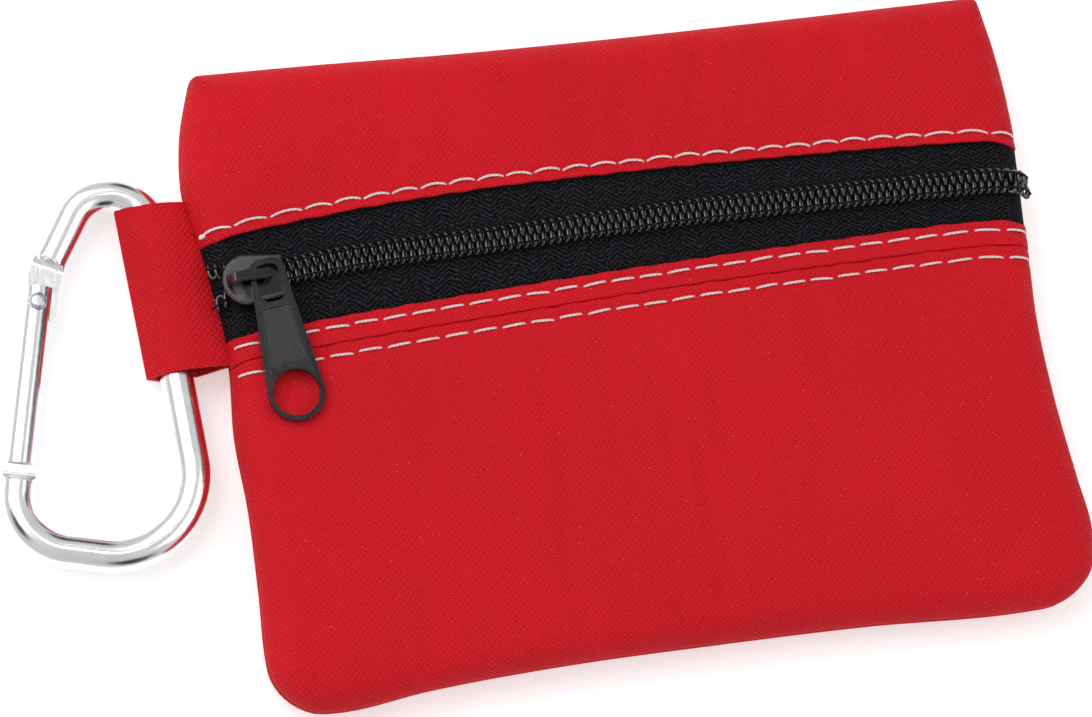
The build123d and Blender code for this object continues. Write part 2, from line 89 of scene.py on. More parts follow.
# The turn of the cloth over the pouch's edges, and the front's slight fall away from the zip
EDGE_DEPTH = 4.4
TURN_STEPS = 9
CROWN_DROP = 0.9
LOWER_CROWN_FROM = 6.0
UPPER_CROWN_FROM = 26.0
UPPER_CROWN_SHARE = 0.6

# The stuffed cloth's swells, each (height, waves along x, waves along y, phase), and its seam puckers
SWELLS = ((0.16, 0.093, 0.071, 0.6), (0.12, 0.052, -0.128, 2.1), (0.07, 0.21, 0.034, 4.0))
SWELL_FREE = (16.0, 14.0)
SWELL_EDGE = 8.0
PUCKER_HEIGHT = 0.06
PUCKER_PLACE = 3.5
PUCKER_WIDTH = 5.0
BACK_HOLLOW = 0.45
BACK_HOLLOW_REACH = 30.0
BACK_WAVES = 0.3
BACK_REST = 0.3
SEAM_NIP = 0.4
NIP_HEIGHT = 0.8

# The cloth and its hems
CLOTH = 0.35
HEM_ROUND = 0.36
FLAP = 3.0
HEM_REACH = 6.0
HEM_STEP = 0.3
STRIP_STEP = 0.25
RUFFLE_REACH = 1.5
PANEL_STEPS = 26
FOLD_GAP = 0.1
GRID_STEP = 0.55
BACK_STEP = 1.1

# The zip: its chain runs from the slider along the slider's joint, a little bowed
CHAIN_SLOPE = radians(1.3)
SLIDER_AT = (-57.65, 14.95)
CHAIN_BOW = ((-62, 0.0), (-57, 0.1), (-48, 1.0), (-20, 1.25), (12, 1.3), (34, 0.7), (50, 0.2),
             (57, -0.2), (62, -1.1))
CHAIN_SAMPLES = 6000
CHAIN_START = 0.65
CHAIN_END = 0.35
TAPE_DROP = 1.1
TAPE_NIP = 0.85
TAPE_NIP_REACH = 5.0
TAPE_THICKNESS = 0.5
TAPE_HIDDEN = 2.4
TAPE_NEAR = 0.06
TAPE_STEP = 0.8
TAPE_ROWS = 24
TAPE_SAG = 0.25
TAPE_WAVE = 0.05
COIL_PITCH = 1.27
COIL_WIRE = 0.27
COIL_MIDDLE = 0.83
COIL_REACH = 1.02
COIL_LIFT = 0.50
COIL_HALF_HEIGHT = 0.46
COIL_PARTING = 1.9
PARTING_FROM = 1.5
PARTING_REACH = 5.5
COIL_SIDES = 8
COIL_TURN_POINTS = 16
HEAD_SWELL = 0.12
LEG_SQUARENESS = 0.92
SEWING_AT = 0.42
SEWING_ROUND = 0.17
SEWING_SUNK = 0.06
SEWING_WAVE = 0.05

# Topstitching, as distances from the fabric edges
STITCH_PITCH = 4.4
STITCH_SPAN = 123.4
STITCH_POINTS = 13
STITCH_ENDS = 0.4
STITCH_SKEW = 0.06
STITCH_STRAY = 0.04
THREAD = 0.2
THREAD_SIDES = 8
UPPER_STITCH = 1.6
STRIP_STITCH = -1.5
LOWER_STITCH = -5.8
STITCH_ROWS = ((UPPER_EDGE, UPPER_STITCH), (LOWER_EDGE, STRIP_STITCH), (LOWER_EDGE, LOWER_STITCH))
TROUGH_DEPTH = 0.1
TROUGH_WIDTH = 0.55
HOLE_DEPTH = 0.12
HOLE_WIDTH = 0.5
KNOT_BOW = 0.1
KNOT_SPAN = (0.5, 1.3)
KNOT_ROUND = 0.34

# The cloth simulation that gives the stuffed pouch its unevenness, ten times full size
SIM_SCALE = 0.01
SIM_FRAMES = 20
SIM_RIM = 0.1
SIM_START = 0.05
SIM_SETTINGS = {
    "quality": 6,
    "mass": 0.3,
    "tension_stiffness": 20.0,
    "compression_stiffness": 20.0,
    "bending_stiffness": 0.6,
    "shrink_min": -0.035,
    "use_pressure": True,
    "uniform_pressure_force": 4.0,
    "vertex_group_mass": "seams",
}
RELIEF_STEP = 2.0
RELIEF_BLUR = 60
RELIEF_GAIN = 0.35
RELIEF_CAP = 0.5

# The webbing loop
LOOP_THICKNESS = 0.8
LOOP_ROWS = 34
LOOP_BOTTOM = 3.8
LOOP_TOP = 29.2
LOOP_MIDDLE = 16.4
LOOP_LEAN = -0.055
LOOP_TUCK = 1.3
LOOP_FOLD_IN = 0.2
LOOP_FOLD_ROUND = 0.95
LOOP_FOLD_Z = 4.15
LOOP_FOLD_ANGLE = 35
LOOP_FLAT = 5.6
LOOP_EASE = 2.6
LOOP_TOP_GAP = 0.1
LOOP_SKEW = 0.35

# Its two layers where they leave the seam and where they meet the fold: (past the seam or fold, height)
LOOP_UPPER_ROOT = ((0.0, 6.6), (-1.8, 7.6))
LOOP_LOWER_ROOT = ((-2.2, 4.4), (0.0, 5.5))
LOOP_NOSE_EASE = 1.0
LOOP_NOSE_HEIGHTS = (6.1, 1.9)

# The carabiner: its rod's corners and bends, and the gate's axes at the rivet
ROD_RADIUS = (ROD_HIGH[2] - ROD_LOW[2]) / 2
ROD_Z = (ROD_HIGH[2] + ROD_LOW[2]) / 2
ROD_CORNERS = ((-87.0, 21.8), (-80.5, 32.2), (-71.1, 32.2), (-68.7, -25.7), (-97.0, -18.3))
ROD_BENDS = (9.0, 5.8, 5.8, 12.0, 8.0)
ROD_SIDES = 72
ROD_STEP = 0.3
RIVET_AT = np.array([-88.9, 16.9])
GATE_LEAN = radians(13.65)
GATE_UP = np.array([sin(GATE_LEAN), cos(GATE_LEAN)])
GATE_OUT = np.array([-GATE_UP[1], GATE_UP[0]])
GATE_SIDE_X = -80.0

# Its milled ends, as distances along the gate from the rivet and out from the gate's middle
TONGUE_HALF = 0.8
TONGUE_ROUND = 3.3
TONGUE_OUT = 1.85
TONGUE_BELOW = 2.6
TONGUE_START = (-TONGUE_ROUND - 1.0, -0.3)
HINGE_ZONE = -TONGUE_ROUND - 2.0
HINGE_FLAT_END = 5.2
NOSE_TOP = -20.6
NOSE_FLAT_END = -25.6
NOSE_SHOULDER = -24.6
NOSE_INSET = 0.7
FLAT_RAMP = 1.8
FLAT_RISE = 2.6 * ROD_RADIUS

# Small rounds and clean-ups for the refined CAD pieces
MERGE_WITHIN = 0.000004
FLAT_WITHIN = radians(0.5)
BEVEL_ABOVE = radians(35)

# The packets: how the wrappers are filled, crimped and creased
PACKET_COLUMNS = 60
PACKET_ROWS = 44
PACKET_RIM = 0.12
PACKET_SWELL = 0.36
PACKET_CREASE = 0.012
PACKET_CREASES = 5
CRIMP_RIB = 0.05
CRIMP_RATE = 5.0

# The studio
FLOOR_REACH = 3.0
FLOOR_DROP = 0.0002
SURROUND = 0.62
PATCH_LEVEL = 0.03
DARK_PATCHES = (
    ((-0.75, -0.15, 0.62), 9, 18),
    ((0.15, -0.85, 0.45), 10, 19),
    ((0.86, 0.05, 0.5), 9, 17),
    ((0.35, 0.85, 0.4), 8, 15),
)
LENS = 115.4
SENSOR = 36.0
TURN = (10.5, -12.8, 6.9)
CAMERA_OFFSET = Vector((14.1, 2.5, -531.4))


# -------- curves and the pouch's form


def smooth_curve(points, x):
    """A smooth curve through a few points, read at x."""
    places, values = np.array(points, float).T
    slopes = np.gradient(values, places)
    i = np.clip(np.searchsorted(places, x) - 1, 0, len(places) - 2)
    width = places[i + 1] - places[i]
    t = np.clip((x - places[i]) / width, 0, 1)
    start = (1 + 2 * t) * (1 - t) ** 2 * values[i] + t * (1 - t) ** 2 * width * slopes[i]
    end = t * t * (3 - 2 * t) * values[i + 1] + t * t * (t - 1) * width * slopes[i + 1]
    return start + end


def chain_y(x):
    """The height of the chain's middle line at x."""
    return SLIDER_AT[1] + (x - SLIDER_AT[0]) * np.tan(CHAIN_SLOPE) + smooth_curve(CHAIN_BOW, x)


def corner_radius(y):
    """The outline's corner radius: small at the top fold, larger at the bottom."""
    return np.where(y > 0, TOP_CORNER, BOTTOM_CORNER)


def side_at(y):
    """Half the nominal outline's width at a height."""
    r = corner_radius(y)
    past = np.clip(np.abs(y) - (HALF_HEIGHT - r), 0, r)
    return HALF_WIDTH - r + np.sqrt(r * r - past**2)


def depth_at(x, y):
    """How far inside the nominal outline a plan point lies."""
    r = corner_radius(y)
    qx = np.abs(x) - (HALF_WIDTH - r)
    qy = np.abs(y) - (HALF_HEIGHT - r)
    return r - np.hypot(np.maximum(qx, 0), np.maximum(qy, 0)) - np.minimum(np.maximum(qx, qy), 0)


def outward(x, y):
    """The plan direction that leads straight out over the nearest edge."""
    e = 0.01
    gx = (depth_at(x - e, y) - depth_at(x + e, y)) / (2 * e)
    gy = (depth_at(x, y - e) - depth_at(x, y + e)) / (2 * e)
    size = np.maximum(np.hypot(gx, gy), 1e-6)
    return gx / size, gy / size


def fade(t):
    """From 1 at t = 0, smoothly down to 0 at t = 1."""
    t = np.clip(t, 0, 1)
    return 1 - t * t * (3 - 2 * t)


def warp(x, y):
    """Moves nominal plan points out to the stuffed pouch's uneven outline."""
    left = fade((x + HALF_WIDTH) / BULGE_DEPTH) * smooth_curve(LEFT_BULGE, y)
    right = fade((HALF_WIDTH - x) / BULGE_DEPTH) * smooth_curve(RIGHT_BULGE, y)
    top = fade((HALF_HEIGHT - y) / BULGE_DEPTH) * smooth_curve(TOP_BULGE, x)
    bottom = fade((y + HALF_HEIGHT) / BULGE_DEPTH) * smooth_curve(BOTTOM_BULGE, x)
    return x - left + right, y + top - bottom


def crown(x, y):
    """The front's height where it isn't turning over an edge: full at the zip, lower towards the ends."""
    below = np.clip((LOWER_CROWN_FROM - y) / (HALF_HEIGHT + LOWER_CROWN_FROM), 0, 1)
    above = np.clip((y - UPPER_CROWN_FROM) / (HALF_HEIGHT - UPPER_CROWN_FROM), 0, 1)
    return FRONT_Z - CROWN_DROP * (below**2 + UPPER_CROWN_SHARE * above**2)


def held_places(x, y):
    """Which points of the trial sheet are sewn down: its rim and along the three rows of stitches."""
    held = np.minimum(HALF_WIDTH - np.abs(x), HALF_HEIGHT - np.abs(y)) < SIM_RIM
    for edge, offset in STITCH_ROWS:
        held |= np.abs(y - smooth_curve(edge, x) - offset) < 0.6 * RELIEF_STEP
    return held


def blown_heights(x, y):
    """Blows a slightly full sheet of cloth up between the pouch's seams, and returns its heights."""
    rng = np.random.default_rng(7)
    points = np.stack([x, y, rng.normal(0, SIM_START, x.shape)], -1).reshape(-1, 3) * SIM_SCALE
    mesh = bpy.data.meshes.new("cloth_trial")
    mesh.from_pydata(points.tolist(), [], grid_faces(*x.shape).tolist())
    sheet = bpy.data.objects.new("cloth_trial", mesh)
    SCENE.collection.objects.link(sheet)
    seams = sheet.vertex_groups.new(name="seams")
    seams.add(np.flatnonzero(held_places(x, y).ravel()).tolist(), 1.0, "REPLACE")
    settings = sheet.modifiers.new("cloth", "CLOTH").settings
    for name, value in SIM_SETTINGS.items():
        setattr(settings, name, value)
    settings.effector_weights.gravity = 0.0
    for moment in range(1, SIM_FRAMES + 1):
        SCENE.frame_set(moment)
    seen = sheet.evaluated_get(bpy.context.evaluated_depsgraph_get()).to_mesh()
    places = np.empty(len(points) * 3)
    seen.vertices.foreach_get("co", places)
    bpy.data.objects.remove(sheet)
    bpy.data.meshes.remove(mesh)
    SCENE.frame_set(1)
    return places.reshape(*x.shape, 3)[..., 2] / SIM_SCALE


def blown_relief():
    """The blown sheet's unevenness over the pouch, without its broad rise."""
    columns = int(2 * HALF_WIDTH / RELIEF_STEP) + 1
    rows = int(2 * HALF_HEIGHT / RELIEF_STEP) + 1
    along = np.linspace(-HALF_WIDTH, HALF_WIDTH, columns)
    up = np.linspace(-HALF_HEIGHT, HALF_HEIGHT, rows)
    height = blown_heights(*np.meshgrid(along, up))
    broad = height.copy()
    for _ in range(RELIEF_BLUR):
        wide = np.pad(broad, 1, mode="edge")
        broad = (wide[:-2, 1:-1] + wide[2:, 1:-1] + wide[1:-1, :-2] + wide[1:-1, 2:]) / 4
    return np.clip((height - broad) * RELIEF_GAIN, -RELIEF_CAP, RELIEF_CAP)


def settled(x, y):
    """The blown sheet's unevenness at plan places, between its grid's points."""
    rows, columns = RELIEF.shape
    gx = np.clip((x + HALF_WIDTH) / (2 * HALF_WIDTH), 0, 1) * (columns - 1)
    gy = np.clip((y + HALF_HEIGHT) / (2 * HALF_HEIGHT), 0, 1) * (rows - 1)
    i = np.minimum(gx.astype(int), columns - 2)
    j = np.minimum(gy.astype(int), rows - 2)
    u = gx - i
    v = gy - j
    low = RELIEF[j, i] * (1 - u) + RELIEF[j, i + 1] * u
    high = RELIEF[j + 1, i] * (1 - u) + RELIEF[j + 1, i + 1] * u
    return low * (1 - v) + high * v


def ripples(x, y, depth):
    """The stuffed cloth's unevenness: broad swells, and short puckers that run in from the sewn edges."""
    clear = fade(1 - np.abs(y - SWELL_FREE[0]) / SWELL_FREE[1])
    swell = sum(height * np.sin(a * x + b * y + phase) for height, a, b, phase in SWELLS)
    gx, gy = outward(x, y)
    along = np.where(np.abs(gx) > np.abs(gy), y, x)
    pucker = np.sin(0.83 * along + 1.3 * np.sin(0.31 * along)) + 0.6 * np.sin(1.37 * along + 2.0)
    near = np.exp(-(((depth - PUCKER_PLACE) / PUCKER_WIDTH) ** 2))
    broad = clear * swell * np.clip(depth / SWELL_EDGE, 0, 1)
    return broad + PUCKER_HEIGHT * pucker * near + settled(x, y)


def lay(x, y, lift, back=False):
    """Points on the pouch's front or back over plan places, lifted off the cloth along its normal."""
    depth = np.maximum(depth_at(x, y), 0)
    t = 1 - np.clip(depth / EDGE_DEPTH, 0, 1)
    s = np.sqrt(np.maximum(1 - t * t, 0))
    gx, gy = outward(x, y)
    wide, tall = warp(x, y)
    if back:
        high = SEAM_Z - BACK_HOLLOW * fade(depth / BACK_HOLLOW_REACH)
        sign = -1.0
        waves = BACK_WAVES * ripples(x, y, depth) - BACK_REST
    else:
        high = crown(x, y) - SEAM_Z
        sign = 1.0
        waves = ripples(x, y, depth)
    normal = np.stack([gx * t / EDGE_DEPTH, gy * t / EDGE_DEPTH, sign * s / high], -1)
    normal /= np.linalg.norm(normal, axis=-1, keepdims=True)
    point = np.stack([wide, tall, SEAM_Z + sign * (high + waves) * s], -1)
    nip = SEAM_NIP * np.exp(-((high * s / NIP_HEIGHT) ** 2))
    return point + normal * (lift - nip)[..., None]


def spread(half, step):
    """Places from -half to half, closing up where the cloth turns over its edge."""
    turn = EDGE_DEPTH * (1 - np.cos(np.linspace(0, pi / 2, TURN_STEPS)))
    inner = half - EDGE_DEPTH
    middle = np.linspace(-inner, inner, int(2 * inner / step) + 1)[1:-1]
    return np.concatenate([turn - half, middle, (half - turn)[::-1]])


# -------- meshes


def make_piece(name, points, faces, material, cloth=None, sharp=None):
    """A mesh object from points in millimetres. cloth is the fabric's flat coordinates at each point."""
    mesh = bpy.data.meshes.new(name)
    mesh.from_pydata((points * MM).tolist(), [], faces)
    mesh.validate()
    mesh.shade_smooth()
    if sharp is not None:
        mesh.set_sharp_from_angle(angle=radians(sharp))
    if cloth is not None:
        layer = mesh.attributes.new("cloth", "FLOAT_VECTOR", "POINT")
        layer.data.foreach_set("vector", cloth.astype(np.float32).ravel())
    piece = bpy.data.objects.new(name, mesh)
    SCENE.collection.objects.link(piece)
    mesh.materials.append(material)
    return piece


def grid_faces(rows, columns, start=0, wrap=False):
    """The quads of a grid of points; wrap joins its last column to its first."""
    index = np.arange(rows * columns).reshape(rows, columns) + start
    if wrap:
        index = np.concatenate([index, index[:, :1]], axis=1)
    return np.stack([index[:-1, :-1], index[:-1, 1:], index[1:, 1:], index[1:, :-1]], -1).reshape(-1, 4)


def shell_faces(rows, columns):
    """The faces of a closed shell: a grid of points, a second one beneath it, and the rim between them."""
    count = rows * columns
    index = np.arange(count).reshape(rows, columns)
    rim = np.concatenate([index[0], index[1:, -1], index[-1, -2::-1], index[-2:0:-1, 0]])
    after = np.roll(rim, -1)
    sides = np.stack([after, rim, rim + count, after + count], -1)
    under = grid_faces(rows, columns, count)[:, ::-1]
    return np.concatenate([grid_faces(rows, columns), under, sides]).tolist()


def capped_faces(rings, sides):
    """The faces of a tube of rings, with a fan at each end to the two points that come after the rings."""
    last = rings * sides
    faces = grid_faces(rings, sides, wrap=True).tolist()
    for k in range(sides):
        faces.append([(k + 1) % sides, k, last])
        faces.append([last - sides + k, last - sides + (k + 1) % sides, last + 1])
    return faces


def grid_normals(points):
    """The outward normals of a grid of points."""
    across = np.gradient(points, axis=1)
    along = np.gradient(points, axis=0)
    normal = np.cross(across, along)
    return normal / np.maximum(np.linalg.norm(normal, axis=-1, keepdims=True), 1e-9)


def flat_coordinates(points):
    """The cloth's own coordinates on a grid of points: lengths measured along its columns and rows."""
    step_u = np.linalg.norm(np.diff(points, axis=1), axis=-1)
    step_v = np.linalg.norm(np.diff(points, axis=0), axis=-1)
    u = np.concatenate([np.zeros((len(points), 1)), np.cumsum(step_u, 1)], 1)
    u -= u[:, u.shape[1] // 2 : u.shape[1] // 2 + 1]
    v = np.concatenate([np.zeros((1, points.shape[1])), np.cumsum(step_v, 0)], 0)
    v = np.repeat(v.mean(1, keepdims=True), points.shape[1], 1)
    return np.stack([u, v, np.zeros_like(u)], -1)


def closed_sheet(name, outer, thickness, material, sharp=None):
    """A sheet of cloth with a real thickness, from the grid of points of its outer face."""
    inner = outer - grid_normals(outer) * thickness
    cloth = flat_coordinates(outer).reshape(-1, 3)
    points = np.concatenate([outer.reshape(-1, 3), inner.reshape(-1, 3)])
    faces = shell_faces(*outer.shape[:2])
    return make_piece(name, points, faces, material, np.concatenate([cloth, cloth]), sharp)


def frames_along(path):
    """Two steady cross directions at each point of a path."""
    tangent = np.gradient(path, axis=0)
    tangent /= np.linalg.norm(tangent, axis=1, keepdims=True)
    side = np.zeros_like(path)
    seed = np.array([0.0, 0.0, 1.0]) if abs(tangent[0][2]) < 0.9 else np.array([1.0, 0.0, 0.0])
    for i, t in enumerate(tangent):
        seed = seed - t * (seed @ t)
        seed = seed / np.linalg.norm(seed)
        side[i] = seed
    return side, np.cross(tangent, side)


def tube(path, radius, sides):
    """The points and faces of a round tube along a path. radius may vary from point to point."""
    path = np.asarray(path, float)
    side, up = frames_along(path)
    angle = np.linspace(0, 2 * pi, sides, endpoint=False)
    radius = np.broadcast_to(np.asarray(radius, float), len(path))[:, None, None]
    ring = np.cos(angle)[None, :, None] * side[:, None] + np.sin(angle)[None, :, None] * up[:, None]
    points = (path[:, None] + radius * ring).reshape(-1, 3)
    return np.concatenate([points, path[:1], path[-1:]]), capped_faces(len(path), sides)


class Bundle:
    """Collects many small shapes into one mesh."""

    def __init__(self):
        self.points = []
        self.faces = []
        self.cloth = []

    def add(self, points, faces, cloth=None):
        start = sum(len(p) for p in self.points)
        self.points.append(points)
        self.faces.extend([[i + start for i in face] for face in faces])
        self.cloth.append(points if cloth is None else cloth)

    def piece(self, name, material):
        points = np.concatenate(self.points)
        return make_piece(name, points, self.faces, material, np.concatenate(self.cloth))


# -------- materials


class Nodes:
    """A node tree, with short ways to add nodes to it."""

    def __init__(self, tree):
        self.tree = tree

    def node(self, kind, **settings):
        made = self.tree.nodes.new("ShaderNode" + kind)
        for key, value in settings.items():
            setattr(made, key, value)
        return made

    def link(self, source, target):
        self.tree.links.new(source, target)

    def feed(self, socket, value):
        if isinstance(value, bpy.types.NodeSocket):
            self.link(value, socket)
        else:
            socket.default_value = value

    def math(self, operation, a, b=0.0, c=0.0):
        made = self.node("Math", operation=operation)
        for socket, value in zip(made.inputs, (a, b, c)):
            self.feed(socket, value)
        return made.outputs[0]

    def plus(self, a, b):
        return self.math("ADD", a, b)

    def times(self, a, b):
        return self.math("MULTIPLY", a, b)


class Shader(Nodes):
    """A Principled material."""

    def __init__(self, name, **values):
        self.material = bpy.data.materials.new(name)
        self.material.use_nodes = True
        super().__init__(self.material.node_tree)
        self.main = self.tree.nodes["Principled BSDF"]
        for socket, value in values.items():
            self.main.inputs[socket.replace("_", " ")].default_value = value

    def cloth(self):
        """The fabric's own flat coordinates, in millimetres, as a vector, x and y."""
        made = self.node("Attribute", attribute_name="cloth")
        parts = self.node("SeparateXYZ")
        self.link(made.outputs["Vector"], parts.inputs[0])
        return made.outputs["Vector"], parts.outputs[0], parts.outputs[1]

    def place(self):
        """The place on the object, in millimetres."""
        made = self.node("TexCoord")
        scaled = self.node("VectorMath", operation="SCALE")
        self.link(made.outputs["Object"], scaled.inputs[0])
        scaled.inputs["Scale"].default_value = 1000.0
        return scaled.outputs[0]

    def noise(self, vector, scale, detail=3.0, roughness=0.55):
        made = self.node("TexNoise")
        self.link(vector, made.inputs["Vector"])
        made.inputs["Scale"].default_value = scale
        made.inputs["Detail"].default_value = detail
        made.inputs["Roughness"].default_value = roughness
        return made.outputs["Fac"]

    def ramp(self, value, *stops):
        """Maps a value to colours or greys at (position, colour) stops."""
        made = self.node("ValToRGB")
        self.link(value, made.inputs[0])
        elements = made.color_ramp.elements
        while len(elements) < len(stops):
            elements.new(0.5)
        for element, (position, colour) in zip(elements, stops):
            element.position = position
            element.color = (*np.broadcast_to(colour, 3), 1.0)
        return made.outputs[0]

    def mix(self, share, a, b, blend="MIX"):
        made = self.node("Mix", data_type="RGBA", blend_type=blend)
        self.feed(made.inputs[0], share)
        self.feed(made.inputs[6], a)
        self.feed(made.inputs[7], b)
        return made.outputs[2]

    def bump(self, height, distance, strength=1.0):
        made = self.node("Bump")
        self.link(height, made.inputs["Height"])
        made.inputs["Distance"].default_value = distance
        made.inputs["Strength"].default_value = strength
        self.link(made.outputs[0], self.main.inputs["Normal"])

    def colour(self, value):
        self.link(value, self.main.inputs["Base Color"])

    def roughness(self, value):
        self.link(value, self.main.inputs["Roughness"])


def rgb(*levels):
    """A colour from its three sRGB values, each 0 to 255."""
    return tuple(v / 255 / 12.92 if v <= 10 else ((v / 255 + 0.055) / 1.055) ** 2.4 for v in levels)


def woven_material(name, base, dark, light, pitch, painted_highlight_share):
    """Coarse plain weave: rounded crossings in staggered rows, with painted shade between them, a painted
    highlight on their tops, and a paler painted highlight on some tops.
    """
    m = Shader(name, Roughness=0.7, Specular_IOR_Level=0.12)
    where, u, v = m.cloth()
    wander = m.times(m.noise(where, 0.5, 2.0), 1.6)
    wave_u = m.math("SINE", m.plus(m.times(u, pi / pitch), wander))
    wave_v = m.math("SINE", m.plus(m.times(v, pi / pitch), wander))
    both = m.times(wave_u, wave_v)
    bumps = m.math("POWER", m.math("ABSOLUTE", both), 0.7)
    height = m.plus(m.times(bumps, 0.5), m.times(both, 0.5))
    fibres = m.noise(where, 4.5, 4.0, 0.7)
    slubs = m.noise(where, 1.1, 2.0, 0.6)
    relief = m.plus(height, m.plus(m.times(fibres, 0.5), m.times(slubs, 0.8)))
    m.bump(relief, 0.00016, 0.9)
    mixed = m.plus(m.times(height, 0.7), m.times(fibres, 0.6))
    # The colour follows the weave's height: painted shade low between the crossings, painted highlight on
    # their tops.
    shade = m.ramp(mixed, (0.12, dark), (0.55, base), (0.95, tuple(c * 1.12 for c in base)))
    patches = m.ramp(m.noise(where, 0.03, 2.0), (0.35, (0.95, 0.93, 0.93)), (0.65, (1.03, 1.02, 1.02)))
    toned = m.mix(1.0, shade, patches, "MULTIPLY")
    # Some crossing tops take the pale colour: a painted highlight.
    tops = m.times(m.math("GREATER_THAN", height, 0.7), m.math("GREATER_THAN", slubs, 0.66))
    m.colour(m.mix(m.times(tops, painted_highlight_share), toned, (*light, 1.0)))
    m.roughness(m.ramp(fibres, (0.3, 0.58), (0.7, 0.8)))
    return m.material


def herringbone_material():
    """Black zip tape: ribs that slant one way and then the other, with a painted highlight on their tops.
    """
    m = Shader("black_herringbone_tape", Roughness=0.75, Specular_IOR_Level=0.06)
    where, u, v = m.cloth()
    fold = m.math("ABSOLUTE", m.math("SUBTRACT", m.math("FRACT", m.math("DIVIDE", u, 5.2)), 0.5))
    slant = m.plus(m.math("DIVIDE", v, 0.7), m.times(fold, 5.0))
    wander = m.times(m.noise(where, 0.9, 2.0), 1.6)
    ribs = m.math("ABSOLUTE", m.math("SINE", m.times(m.plus(slant, wander), pi)))
    fibres = m.noise(where, 2.6, 3.0, 0.75)
    height = m.plus(m.times(ribs, 0.32), m.times(fibres, 1.1))
    m.bump(height, 0.00022, 1.0)
    # The colour follows the ribs' height and the fibres: painted shade in the grooves, painted highlight
    # on the rib tops.
    m.colour(m.ramp(height, (0.5, rgb(3, 3, 4)), (0.75, rgb(15, 15, 18)), (1.0, rgb(48, 48, 54))))
    m.roughness(m.ramp(fibres, (0.3, 0.6), (0.7, 0.9)))
    return m.material


def plastic_material(name, dark, light, low, high):
    """Moulded or drawn plastic with faint mottling and handling marks."""
    m = Shader(name, Specular_IOR_Level=0.8, Coat_Weight=0.5, Coat_Roughness=0.12)
    where = m.place()
    grain = m.noise(where, 1.6, 4.0, 0.6)
    m.colour(m.ramp(grain, (0.3, dark), (0.7, light)))
    m.roughness(m.ramp(m.noise(where, 0.8, 3.0), (0.3, low), (0.7, high)))
    m.bump(grain, 0.00003, 0.4)
    return m.material


def thread_material():
    """Spun white thread: two plies twisted together, painted darker and pinker along the twist as painted
    shade.
    """
    m = Shader("white_spun_thread", Roughness=0.7, Specular_IOR_Level=0.3, Sheen_Weight=0.2)
    where, u, v = m.cloth()
    twist = m.math("SINE", m.plus(m.times(u, 9.0), m.times(v, 2.0)))
    fuzz = m.noise(where, 6.0, 3.0)
    m.bump(m.plus(twist, fuzz), 0.00006, 0.7)
    # Darker pink where the twist and fuzz are low: painted shade between the plies.
    tone = m.math("MULTIPLY_ADD", twist, 0.25, fuzz)
    m.colour(m.ramp(tone, (0.2, rgb(214, 176, 178)), (0.6, rgb(246, 236, 236))))
    m.roughness(m.ramp(fuzz, (0.3, 0.6), (0.7, 0.8)))
    return m.material


def enamel_material(name, dark, light, grain_size, relief):
    """Black enamel over cast zinc: grained faces, and smooth rims worn to a gloss, their colour painted
    darker as painted shade.
    """
    m = Shader(name, Specular_IOR_Level=0.55)
    where = m.place()
    grain = m.noise(where, grain_size, 4.0, 0.6)
    # On convex rims the colour turns darker, as painted shade, and the roughness drops for their worn
    # gloss.
    rim = m.ramp(m.node("NewGeometry").outputs["Pointiness"], (0.505, 0.0), (0.54, 1.0))
    face = m.ramp(grain, (0.35, dark), (0.65, light))
    m.colour(m.mix(rim, face, (*rgb(4, 4, 5), 1.0)))
    worn = m.ramp(m.noise(where, 1.3, 3.0), (0.3, 0.32), (0.7, 0.46))
    m.roughness(m.mix(rim, worn, (0.14, 0.14, 0.14, 1.0)))
    m.bump(grain, relief, 1.0)
    return m.material


def metal_material(name, colour, low, high, scratch):
    """Bare metal: polished or drawn, with fine scratches and a little unevenness."""
    m = Shader(name, Metallic=1.0)
    where = m.place()
    stretched = m.node("Mapping")
    m.link(where, stretched.inputs["Vector"])
    stretched.inputs["Scale"].default_value = (1.0, 0.12, 1.0)
    lines = m.noise(stretched.outputs[0], 6.0, 4.0, 0.6)
    cloud = m.noise(where, 0.25, 2.0)
    darker = tuple(c * 0.9 for c in colour)
    m.colour(m.ramp(cloud, (0.3, darker), (0.7, colour)))
    m.roughness(m.ramp(lines, (0.3, low), (0.7, high)))
    m.bump(lines, scratch, 0.35)
    return m.material


def wrapper_material(name, base, tint, gloss, stripe):
    """Wrapping paper or laminate with soft creases, painted shade in their hollows, and a printed band of
    plain colour.
    """
    m = Shader(name, Specular_IOR_Level=0.4)
    where = m.place()
    crease = m.noise(where, 0.4, 4.0, 0.6)
    across = m.cloth()[1]
    band = m.math("LESS_THAN", m.math("ABSOLUTE", across), stripe)
    # The paper turns darker where the creases sink: painted shade.
    paper = m.ramp(crease, (0.3, tuple(c * 0.85 for c in base)), (0.7, base))
    m.colour(m.mix(band, paper, (*tint, 1.0)))
    m.roughness(m.ramp(crease, (0.3, gloss), (0.7, min(gloss + 0.2, 1.0))))
    m.bump(crease, 0.0003, 0.5)
    return m.material


